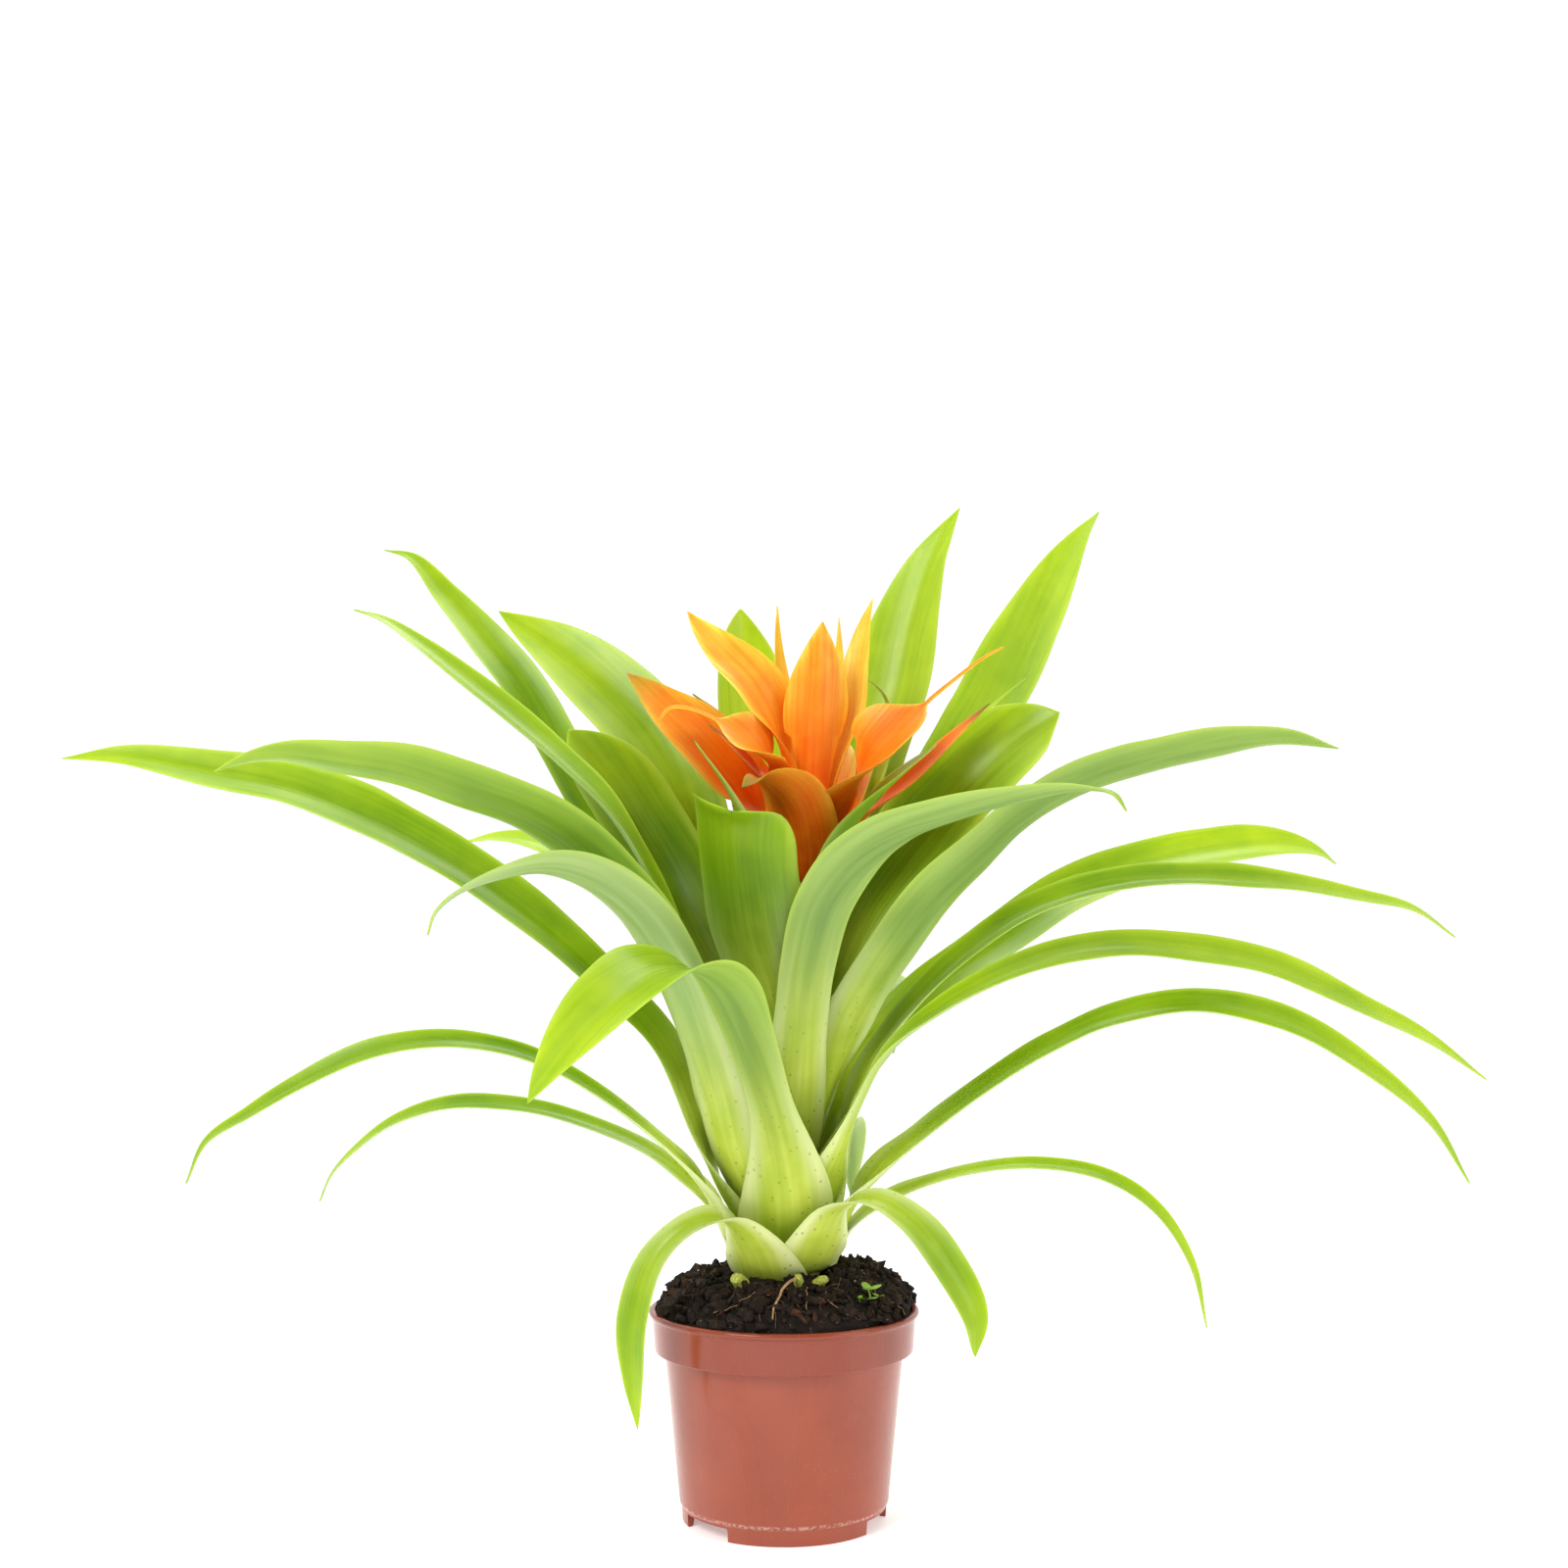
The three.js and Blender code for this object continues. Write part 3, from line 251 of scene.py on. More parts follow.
BRACTS = [
    Blade("foot_pale", root=(-100, 238), width=17, wrap=40, roll=0, cup=24, blunt=1.8, lime=0.4, pale=0.6,
          route=[(5, -14, 256), (4, -19, 274), (1, -22, 291)]),
    Blade("left_green", root=(-130, 262), width=10, wrap=40, roll=-20, cup=26, blunt=1.6, deep_and_shade=0.5,
          lime=0.2, spoilt=1,
          route=[(-5, -15, 286), (-16, -26.5, 306), (-26, -28, 324), (-39, -26, 343)]),
    Blade("front_low", root=(-84, 268), width=33, wrap=60, roll=0, cup=30, blunt=3, deep_and_shade=0.3, spoilt=0.9,
          route=[(9, -18, 284), (8, -26, 300), (4, -33, 314), (-3, -38, 322), (-11, -42, 325),
                 (-18, -45, 321)]),
    Blade("front_right_small", root=(-50, 272), width=18, wrap=50, roll=10, cup=30, blunt=2, deep_and_shade=0.3,
          route=[(15, -14, 286), (19, -19, 299), (21, -23, 311)]),
    Blade("left_far", root=(200, 280), width=35, wrap=55, roll=-66, cup=26, blunt=2.4, deep_and_shade=0.15, pale=0.5,
          spoilt=0.6,
          route=[(-8, -7, 304), (-23, -12, 327), (-39, -15, 345), (-52, -17, 357), (-61, -18, 366),
                 (-69, -18, 373)]),
    Blade("back_left", root=(130, 284), width=24, wrap=50, roll=0, cup=26, blunt=1.8, deep_and_shade=0.1,
          route=[(0, 15, 304), (-9, 26, 322), (-18, 36, 335), (-27, 45, 344)]),
    Blade("back_right", root=(45, 286), width=25, wrap=50, roll=0, cup=26, blunt=1.8, deep_and_shade=0.1,
          route=[(22, 14, 306), (30, 23, 321), (37, 32, 334), (42, 41, 343)]),
    Blade("left_dark", root=(218, 289), width=15, wrap=45, roll=-50, cup=28, blunt=1.6, deep_and_shade=0.6,
          spoilt=0.6,
          route=[(-2, -13, 311), (-12, -20, 328), (-23, -24, 341), (-33, -26, 350)]),
    Blade("right_brown", root=(-12, 291), width=14, wrap=45, roll=45, cup=28, blunt=1.6, deep_and_shade=0.5, spoilt=1,
          route=[(33, -6, 308), (56, -9, 327), (75, -9, 346), (91, -8, 361)]),
    Blade("left_sliver", root=(176, 295), width=10, wrap=40, roll=-40, cup=28, blunt=1.6, deep_and_shade=0.6,
          spoilt=1,
          route=[(-4, 2, 322), (-18, 5, 342), (-30, 3, 357), (-41, 1, 366)]),
    Blade("right_thread", root=(-48, 296), width=47, wrap=58, roll=66, cup=30, blunt=3.2, thread=0.34,
          deep_and_shade=0.05,
          route=[(21, -16, 309), (31, -26, 324), (43, -31, 338), (54, -32, 350), (62, -31, 359),
                 (74, -30, 369), (86, -29, 378), (95, -28, 383)]),
    Blade("back", root=(80, 299), width=28, wrap=50, roll=0, cup=26, blunt=1.8, lime=0.2,
          route=[(17, 15, 316), (22, 27, 331), (26, 38, 342), (29, 48, 349)]),
    Blade("left_curled", root=(236, 302), width=37, wrap=52, roll=-64, cup=28, blunt=3, thread=0.3,
          lime=0.12,
          route=[(3, -17, 316), (-4, -26, 330), (-16.9, -29.5, 342.5), (-29, -32, 351), (-41, -31, 356),
                 (-49, -32, 356), (-54, -32, 350)]),
    Blade("upper_left", root=(186, 307), width=32, wrap=36, roll=-64, cup=24, blunt=2.0, lime=0.3,
          route=[(0.6, -4, 333), (-5.7, -7.3, 354), (-14.7, -8.3, 370), (-28, -6, 384), (-37, -5, 394),
                 (-43, -4, 402)]),
    Blade("upper_right", root=(6, 309), width=20, wrap=38, roll=30, cup=24, blunt=1.8, lime=0.75,
          route=[(25, 3, 335), (31, 6, 357), (33, 8, 377), (36, 10, 396), (40, 10, 410)]),
    Blade("centre", root=(-82, 312), width=34, wrap=34, roll=0, cup=32, blunt=2.1, lime=0.25,
          route=[(15, -8, 335), (16, -11, 358), (17, -11, 378), (17, -8, 397)]),
    Blade("upper_left_thin", root=(140, 315), width=13, wrap=24, roll=0, cup=22, blunt=1.7, lime=1,
          route=[(3, 10.5, 340), (-1, 12.5, 366), (-3, 11, 388), (-3, 11, 407)]),
    Blade("upper_sliver", root=(66, 318), width=9, wrap=20, roll=0, cup=22, blunt=1.6, lime=1,
          route=[(20, 15, 345), (25, 18, 376), (25, 20, 403)]),
    Blade("inner", root=(96, 320), width=12, wrap=22, roll=0, cup=22, blunt=1.8, lime=0.9,
          route=[(12, 14, 340), (12, 20, 360), (11, 24, 377)]),
]


# ---------------------------------------------------------------- shapes


def ease(x, low, high):
    """A smooth step: 0 at low, 1 at high, with level ends (three t squared less two t cubed)."""
    t = np.clip((x - low) / (high - low), 0, 1)
    return t * t * (3 - 2 * t)


def mix(a, b, share):
    """a carried towards b by the share."""
    return a + (b - a) * share


def dot(a, b):
    """The dot product along the last axis, which is kept with one entry."""
    return (a * b).sum(-1, keepdims=True)


def unit(a):
    """Each vector over its own length."""
    return a / np.maximum(np.linalg.norm(a, axis=-1, keepdims=True), 1e-9)


def rough(points, seed=0):
    """Smooth random heights from -1 to 1: a random value at each corner of a lattice of
    unit cells, eased between the eight corners round the point."""
    cell = np.floor(points).astype(np.int64)
    part = points - cell
    part = part * part * (3 - 2 * part)
    total = np.zeros(points.shape[:-1])
    for corner in np.ndindex(2, 2, 2):
        x, y, z = np.moveaxis(cell + corner, -1, 0)
        mixed = (x * 73856093) ^ (y * 19349663) ^ (z * 83492791) ^ (seed * 2654435761 + 97)
        mixed = (mixed ^ (mixed >> 13)) & 0x7FFFFFFF
        mixed = (mixed * (mixed * mixed % 65521 * 15731 + 789221) + 1376312589) & 0x7FFFFFFF
        weight = np.prod(np.where(np.array(corner), part, 1 - part), axis=-1)
        total += weight * (mixed / 0x3FFFFFFF - 1)
    return total


def route_curve(points, steps=40):
    """A centripetal Catmull-Rom curve through the points, as many straight steps, and the
    share of its length at each. The knots are spaced by the square root of the distance
    between points, and each end is carried on in a straight line."""
    p = np.asarray(points, float)
    p = np.vstack([2 * p[0] - p[1], p, 2 * p[-1] - p[-2]])
    knot = np.sqrt(np.linalg.norm(np.diff(p, axis=0), axis=1))
    a, b, c, d = p[:-3], p[1:-2], p[2:-1], p[3:]
    ka, kb, kc = (k[:, None] for k in (knot[:-2], knot[1:-1], knot[2:]))
    leaving = ((b - a) / ka - (c - a) / (ka + kb) + (c - b) / kb) * kb
    arriving = ((c - b) / kb - (d - b) / (kb + kc) + (d - c) / kc) * kb
    t = (np.arange(steps) / steps)[:, None, None]
    fine = (
        b + leaving * t + (3 * (c - b) - 2 * leaving - arriving) * t**2
        + (2 * (b - c) + leaving + arriving) * t**3
    )
    fine = np.vstack([fine.transpose(1, 0, 2).reshape(-1, 3), p[-2]])
    reach = np.concatenate([[0], np.cumsum(np.linalg.norm(np.diff(fine, axis=0), axis=1))])
    return fine, reach


def along_curve(fine, reach, u):
    """Points and unit tangents at shares u of the curve's length."""
    tangent = np.gradient(fine, reach, axis=0)
    at = u * reach[-1]
    pick = lambda values: np.stack([np.interp(at, reach, v) for v in values.T], -1)
    return pick(fine), unit(pick(tangent))


def ring_quads(rows, columns):
    """Quads of a rows by columns grid whose columns close on themselves."""
    i, j = np.meshgrid(np.arange(rows - 1), np.arange(columns), indexing="ij")
    k = (j + 1) % columns
    quads = np.stack([i * columns + j, (i + 1) * columns + j, (i + 1) * columns + k, i * columns + k])
    return quads.reshape(4, -1).T


def closed_tube(rings, first, last):
    """Points and faces of a tube of rings (rows, columns, 3) closed by a pole at each end."""
    rows, columns = rings.shape[:2]
    points = np.vstack([rings.reshape(-1, 3), first, last])
    j = np.arange(columns)
    k = (j + 1) % columns
    poles = rows * columns, rows * columns + 1
    end = (rows - 1) * columns
    caps = np.vstack([
        np.stack([np.full(columns, poles[0]), j, k], -1),
        np.stack([np.full(columns, poles[1]), end + k, end + j], -1),
    ])
    return points, [ring_quads(rows, columns), caps]


def signed_volume(points, faces):
    """Six times the volume: the sum over triangles of the product of their three corners."""
    total = 0
    for part in faces:
        a = points[part[:, 0]]
        for i in range(1, part.shape[1] - 1):
            total += (a * np.cross(points[part[:, i]], points[part[:, i + 1]])).sum()
    return total


def add_piece(name, points, faces, material, slot, replaces=(), values=None, sharp=None):
    """A mesh object from points in mm and lists of equal-sided faces, turned to face out.
    values are float attributes on its points."""
    if signed_volume(points, faces) < 0:
        faces = [part[:, ::-1] for part in faces]
    mesh = bpy.data.meshes.new(name)
    mesh.vertices.add(len(points))
    mesh.vertices.foreach_set("co", (points * MM).astype(np.float32).ravel())
    corners = np.concatenate([part.ravel() for part in faces]).astype(np.int32)
    sides = np.concatenate([np.full(len(part), part.shape[1]) for part in faces])
    mesh.loops.add(len(corners))
    mesh.loops.foreach_set("vertex_index", corners)
    mesh.polygons.add(len(sides))
    starts = np.concatenate([[0], np.cumsum(sides)[:-1]]).astype(np.int32)
    mesh.polygons.foreach_set("loop_start", starts)
    mesh.update(calc_edges=True)
    mesh.validate()
    mesh.shade_smooth()
    if sharp:
        mesh.set_sharp_from_angle(angle=radians(sharp))
    for key, value in (values or {}).items():
        attribute = mesh.attributes.new(key, "FLOAT", "POINT")
        attribute.data.foreach_set("value", np.broadcast_to(value, len(points)).astype(np.float32))
    mesh.materials.append(material)
    piece = bpy.data.objects.new(name, mesh)
    bpy.context.scene.collection.objects.link(piece)
    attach(piece, "root")
    if replaces:
        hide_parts(*replaces)
    return piece


def stem_centre(z):
    """How far the stem stands to +X at a height: nothing up to LEAN_START, eased to
    STEM_LEAN at LEAN_END."""
    return STEM_LEAN * ease(z, LEAN_START, LEAN_END)


def stem_radius(z):
    """The stem's radius at a height, in straight stretches between the given heights."""
    return np.interp(z, STEM_HEIGHTS, STEM_RADII)


def blade_width(blade, u, length, widest):
    """Wide where it wraps the stem, drawn in at the neck, widest past the middle, and then
    closing to the tip as one less a power of the way along."""
    sheath_end = min(SHEATH_FLARE / length, 0.4)
    tip_start = 1 - blade.thread
    sheath = SHEATH_SPREAD * 2 * radians(blade.wrap) * (stem_radius(blade.root[1]) + ROOT_CLEARANCE)
    neck = blade.width * blade.neck
    open_part = mix(sheath, neck, ease(u, 0, sheath_end))
    body = mix(neck, blade.width, ease(u, sheath_end, widest))
    along = np.clip((u - widest) / (tip_start - widest), 0, 1)
    closing = blade.width * (1 - along**blade.blunt)
    if blade.thread:
        closing = np.maximum(closing, 3.4 * (1 - u) ** 0.3)
    return np.where(u < sheath_end, open_part, np.where(u < widest, body, closing))


def blade_surface(blade, bract, seed):
    """A thin lens-shaped section carried along the blade's route. Round the section, t runs
    once round an ellipse: the place across is -cos t, and the lift off the middle surface is
    half the thickness times sin t. The middle surface is an arc that follows the stem at the
    root and is a shallow folded channel further out."""
    bearing, root_height = radians(blade.root[0]), blade.root[1]
    root_radius = stem_radius(root_height) + ROOT_CLEARANCE
    root = [stem_centre(root_height) + root_radius * np.cos(bearing),
            root_radius * np.sin(bearing), root_height]
    fine, reach = route_curve([root, *blade.route])
    length = reach[-1]
    rows = int(np.clip(length / 2.4, 44, 130))
    columns = 36 if blade.width < 13 else 48
    u = 1 - (1 - np.arange(rows) / rows) ** 1.2
    t = TURN * np.arange(columns) / columns
    centre, forward = along_curve(fine, reach, u)
    from_axis = centre * (1, 1, 0) - np.stack([stem_centre(centre[:, 2]), 0 * u, 0 * u], -1)
    distance = np.linalg.norm(from_axis, axis=1, keepdims=True)
    inward = -from_axis / distance
    side = inward[:, [1, 0, 2]] * (1, -1, 1)
    side = unit(side - forward * dot(side, forward))
    free = ease(u * length, 0.35 * SHEATH_LENGTH, 1.3 * SHEATH_LENGTH)[:, None]
    upper = unit(np.cross(forward, side) * free + inward * (1 - free))
    turn = radians(blade.roll) * free
    rolled = lambda v: v * np.cos(turn) + np.cross(forward, v) * np.sin(turn) + forward * dot(
        forward, v) * (1 - np.cos(turn))
    side, upper = rolled(side)[:, None], rolled(upper)[:, None]

    width = blade_width(blade, u, length, 0.42 if bract else 0.66)[:, None]
    across, facing = -np.cos(t)[None], np.sin(t)[None]
    margin = rough(np.stack(np.broadcast_arrays(
        u[:, None] * length / 17, np.sign(across) * 4.0, np.full((1, 1), seed * 1.7)), -1), seed)
    width = width * (1 + 0.02 * margin * across**2)
    bend = mix(1 / distance, 2 * radians(blade.cup) / blade.width, free)
    angle = across * width * bend / 2
    lift = mix(ROOT_THICKNESS, TIP_THICKNESS, u)[:, None] * facing / 2
    fold = blade.crease * width / 2 * (np.sqrt(across**2 + 0.03) - np.sqrt(0.03)) * free
    wave = rough(np.stack(np.broadcast_arrays(
        u[:, None] * length / 26, np.sign(across) * 3.0, np.full((1, 1), seed * 2.3)), -1), seed + 7)
    wave = blade.ripple * wave * across**2 * free * np.minimum(width / 14, 1.5)
    sideways = np.sin(angle) / bend - lift * np.sin(angle)
    upwards = (1 - np.cos(angle)) / bend + lift * np.cos(angle) + fold + wave
    points = centre[:, None] + side * sideways[..., None] + upper * upwards[..., None]
    if blade.notch:
        nick = blade.notch * (np.exp(-((across - 0.12) / 0.2) ** 2) + 0.45
                              * np.exp(-((across + 0.6) / 0.3) ** 2))
        points -= forward[:, None] * (nick * ease(u, 0.78, 1)[:, None])[..., None]

    tip = np.array(blade.route[-1], float)
    if blade.notch:
        tip = points[-1].mean(0)
    points, faces = closed_tube(points, points[0].mean(0), tip)
    spread = lambda grid, first, last: np.append(np.broadcast_to(grid, (rows, columns)).ravel(),
                                                 (first, last))
    values = {
        "along": spread(u[:, None], 0, 1),
        "across": spread(across, 0, 0),
        "facing": spread(facing, 0, 0),
        "reach": spread(u[:, None] * length / 100, 0, length / 100),
        "halfwidth": spread(width / 20, width[0].mean() / 20, 0),
        "deep_and_shade": blade.deep_and_shade, "lime": blade.lime, "pale": blade.pale, "even": blade.even,
        "spoilt": blade.spoilt,
        "seed": seed * 1.37,
    }
    return points, faces, values


def tube_surface(route, radius, sides=8, steps=6, wobble=0, seed=0):
    """A round strand along a curve; its radius is given at even shares of the length, and
    wobble shifts its rings at random."""
    fine, reach = route_curve(route)
    rows = max(4, (len(route) - 1) * steps)
    u = np.linspace(0, 1, rows)
    centre, forward = along_curve(fine, reach, u)
    if wobble:
        shift = np.stack([rough(np.stack([u * reach[-1] / 3, 0 * u + 5 * k, 0 * u], -1), seed + k)
                          for k in range(3)], -1)
        centre = centre + wobble * shift * np.sin(pi * u)[:, None]
    side = unit(np.cross(forward, np.array([0.31, 0.17, 0.93])))
    other = np.cross(forward, side)
    t = TURN * np.arange(sides) / sides
    thick = np.interp(u, np.linspace(0, 1, len(np.atleast_1d(radius))), np.atleast_1d(radius))
    rings = centre[:, None] + thick[:, None, None] * (
        side[:, None] * np.cos(t)[None, :, None] + other[:, None] * np.sin(t)[None, :, None])
    return closed_tube(rings, centre[0], centre[-1])


def joined(parts):
    """Several (points, faces) as one."""
    points, quads, caps, start = [], [], [], 0
    for part_points, part_faces in parts:
        points.append(part_points)
        for faces in part_faces:
            (quads if faces.shape[1] == 4 else caps).append(faces + start)
        start += len(part_points)
    return np.vstack(points), [np.vstack(group) for group in (quads, caps) if group]


def rounded(profile, radius, steps=5):
    """The profile with each inner corner replaced by a curve that starts and ends up to
    radius from it: a quadratic through the corner's two cut points."""
    profile = np.asarray(profile, float)
    out = [profile[0]]
    for before, corner, after in zip(profile, profile[1:], profile[2:]):
        back, on = before - corner, after - corner
        cut = lambda way: corner + way * min(radius / np.linalg.norm(way), 0.45)
        a, b = cut(back), cut(on)
        for t in np.linspace(0, 1, steps):
            out.append((1 - t) ** 2 * a + 2 * t * (1 - t) * corner + t * t * b)
    return np.array([*out, profile[-1]])


def divided(profile, step):
    """The profile with points added so that none are more than step apart."""
    out = [profile[0]]
    for a, b in zip(profile, profile[1:]):
        count = max(1, int(np.ceil(np.linalg.norm(b - a) / step)))
        out += [mix(a, b, (i + 1) / count) for i in range(count)]
    return np.array(out)


def turned(profile, bearings, change=None):
    """A profile of (radius, height) from axis to axis, turned about Z. change shifts the
    grid of cylindrical (radius, bearing, height) before it is placed."""
    radius = np.repeat(profile[1:-1, 0][:, None], len(bearings), 1)
    height = np.repeat(profile[1:-1, 1][:, None], len(bearings), 1)
    bearing = np.broadcast_to(bearings, radius.shape)
    if change:
        radius, height = change(radius, bearing, height)
    rings = np.stack([radius * np.cos(bearing), radius * np.sin(bearing), height], -1)
    ends = np.array([[0, 0, profile[0, 1]], [0, 0, profile[-1, 1]]])
    return closed_tube(rings, *ends)


def cut_away(piece, cutters):
    """Takes the cutters out of the piece and removes them."""
    for cutter in cutters:
        change = piece.modifiers.new("cut", "BOOLEAN")
        change.operation, change.solver, change.object = "DIFFERENCE", "EXACT", cutter
    result = bpy.data.meshes.new_from_object(piece.evaluated_get(bpy.context.evaluated_depsgraph_get()))
    piece.modifiers.clear()
    piece.data = result
    for cutter in cutters:
        bpy.data.objects.remove(cutter)
    return piece


# ---------------------------------------------------------------- materials


def node(tree, kind, settings=None, **sockets):
    """A shader node with settings on it, and its sockets set or linked by name; "a", "b" and
    "c" stand for the first, second and third socket."""
    made = tree.nodes.new("ShaderNode" + kind)
    for key, value in (settings or {}).items():
        setattr(made, key, value)
    for key, value in sockets.items():
        socket = made.inputs["abc".index(key)] if key in "abc" else made.inputs[key.replace("_", " ")]
        if isinstance(value, bpy.types.NodeSocket):
            tree.links.new(value, socket)
        else:
            socket.default_value = value
    return made


def calc(tree, operation, a, b=0.5, c=0.5, clamp=False):
    """One Math node on a, b and c."""
    return node(tree, "Math", {"operation": operation, "use_clamp": clamp}, a=a, b=b, c=c).outputs[0]


def value_of(tree, name):
    """The attribute of that name that the piece carries."""
    return node(tree, "Attribute", {"attribute_name": name}).outputs["Fac"]


def span(tree, value, low, high, first=0.0, last=1.0):
    """value from low to high becomes first to last, with smooth ends."""
    made = node(tree, "MapRange", {"interpolation_type": "SMOOTHSTEP"}, Value=value)
    for key, number in (("From Min", low), ("From Max", high), ("To Min", first), ("To Max", last)):
        made.inputs[key].default_value = number
    return made.outputs[0]


def blend(tree, share, first, second, how="MIX"):
    """Colour that goes from first to second as share goes from 0 to 1."""
    made = tree.nodes.new("ShaderNodeMix")
    made.data_type, made.blend_type, made.clamp_factor = "RGBA", how, True
    for socket, value in zip((made.inputs[0], made.inputs[6], made.inputs[7]), (share, first, second)):
        if isinstance(value, bpy.types.NodeSocket):
            tree.links.new(value, socket)
        else:
            socket.default_value = value if isinstance(value, float) else (*value, 1)
    return made.outputs[2]


def effect(name, inputs, outputs, build):
    """A shared node group. inputs are {name: default}, outputs are names of numbers; build
    takes the tree and the input sockets and gives the outputs in order."""
    tree = bpy.data.node_groups.new(name, "ShaderNodeTree")
    for key, default in inputs.items():
        tree.interface.new_socket(key, in_out="INPUT",
                                  socket_type="NodeSocketFloat").default_value = default
    for key in outputs:
        tree.interface.new_socket(key, in_out="OUTPUT", socket_type="NodeSocketFloat")
    start, end = tree.nodes.new("NodeGroupInput"), tree.nodes.new("NodeGroupOutput")
    for key, socket in zip(outputs, build(tree, start.outputs)):
        tree.links.new(socket, end.inputs[key])
    return tree


def placed(tree, shared, **sockets):
    """A shared effect in this material, with its own values."""
    made = tree.nodes.new("ShaderNodeGroup")
    made.node_tree = shared
    for key, value in sockets.items():
        socket = made.inputs[key]
        if isinstance(value, bpy.types.NodeSocket):
            tree.links.new(value, socket)
        else:
            socket.default_value = value
    return made.outputs


def object_point(tree, scale=1.0):
    """Object coordinates in millimetres over scale."""
    point = node(tree, "TexCoord").outputs["Object"]
    made = node(tree, "VectorMath", {"operation": "SCALE"}, a=point)
    made.inputs["Scale"].default_value = 1000 / scale
    return made.outputs[0]


def build_lengthwise(tree, start):
    """Veins: noise on (place across in mm times Pitch, Reach, Seed), so that it is drawn out
    along the blade, once coarse and once fine."""
    lines = []
    for pitch, stretch, detail in ((1.0, 1.6, 1.0), (2.3, 2.2, 1.0)):
        place = node(tree, "CombineXYZ",
                     X=calc(tree, "MULTIPLY", calc(tree, "MULTIPLY", start["Across"], start["Pitch"]),
                            pitch),
                     Y=calc(tree, "MULTIPLY", start["Reach"], stretch), Z=start["Seed"]).outputs[0]
        lines.append(node(tree, "TexNoise", Vector=place, Scale=1.0, Detail=detail,
                          Roughness=0.6).outputs[0])
    wide = span(tree, lines[0], 0.3, 0.7)
    fine = span(tree, lines[1], 0.32, 0.68)
    return wide, fine, calc(tree, "MULTIPLY_ADD", wide, 0.4, calc(tree, "MULTIPLY", fine, 0.6))


def build_drift(tree, start):
    """Slow patchy change of tone over the object, as noise of the given Size in mm."""
    point = object_point(tree)
    scale = calc(tree, "DIVIDE", 1.0, start["Size"])
    scaled = node(tree, "VectorMath", {"operation": "SCALE"}, a=point)
    tree.links.new(scale, scaled.inputs["Scale"])
    noise = node(tree, "TexNoise", Vector=scaled.outputs[0], Scale=1.0, Detail=3.0,
                 Roughness=0.55).outputs[0]
    return span(tree, noise, 0.3, 0.7), noise


def build_specks(tree, start):
    """Small round marks: near the middle of random cells of the given Size in mm, in the
    share of cells that Amount gives."""
    point = object_point(tree)
    scaled = node(tree, "VectorMath", {"operation": "SCALE"}, a=point)
    tree.links.new(calc(tree, "DIVIDE", 1.0, start["Size"]), scaled.inputs["Scale"])
    cells = node(tree, "TexVoronoi", Vector=scaled.outputs[0], Scale=1.0)
    near = span(tree, cells.outputs["Distance"], 0.34, 0.16)
    chance = node(tree, "SeparateColor", a=cells.outputs["Color"]).outputs[0]
    chosen = calc(tree, "LESS_THAN", chance, start["Amount"])
    return (calc(tree, "MULTIPLY", near, chosen),)


lengthwise = effect("lengthwise_lines", {"Across": 0.0, "Reach": 0.0, "Seed": 0.0, "Pitch": 4.0},
                    ("Wide", "Fine", "Height"), build_lengthwise)
drift = effect("tone_drift", {"Size": 30.0}, ("Patch", "Noise"), build_drift)
specks = effect("small_specks", {"Size": 4.0, "Amount": 0.3}, ("Mask",), build_specks)


def new_material(name, **constants):
    """A material with one Principled shader whose plain values are set on its own sockets."""
    material = bpy.data.materials.new(name)
    material.use_nodes = True
    tree = material.node_tree
    shader = tree.nodes["Principled BSDF"]
    for key, value in constants.items():
        shader.inputs[key.replace("_", " ")].default_value = value
    return material, tree, shader


def finish_material(tree, shader, colour, roughness, height=None, strength=0.3, depth=0.3):
    """Links colour and roughness, and height through a Bump node whose depth is in mm."""
    tree.links.new(colour, shader.inputs["Base Color"])
    tree.links.new(roughness, shader.inputs["Roughness"])
    if height is not None:
        bump = node(tree, "Bump", Strength=strength, Distance=depth * MM, Height=height)
        tree.links.new(bump.outputs[0], shader.inputs["Normal"])


def blade_inputs(tree):
    """The attributes that a blade carries, and the width across in mm."""
    names = ("along", "across", "facing", "reach", "halfwidth",
             "deep_and_shade", "lime", "pale", "even", "spoilt", "seed")
    values = {name: value_of(tree, name) for name in names}
    values["place"] = calc(tree, "MULTIPLY", values["across"], values["halfwidth"])
    # The band along each margin where the leaf's painted highlight line goes.
    values["edge"] = span(tree, calc(tree, "ABSOLUTE", values["across"]), 0.8, 1.0)
    values["top"] = span(tree, values["facing"], -0.12, 0.12)
    return values


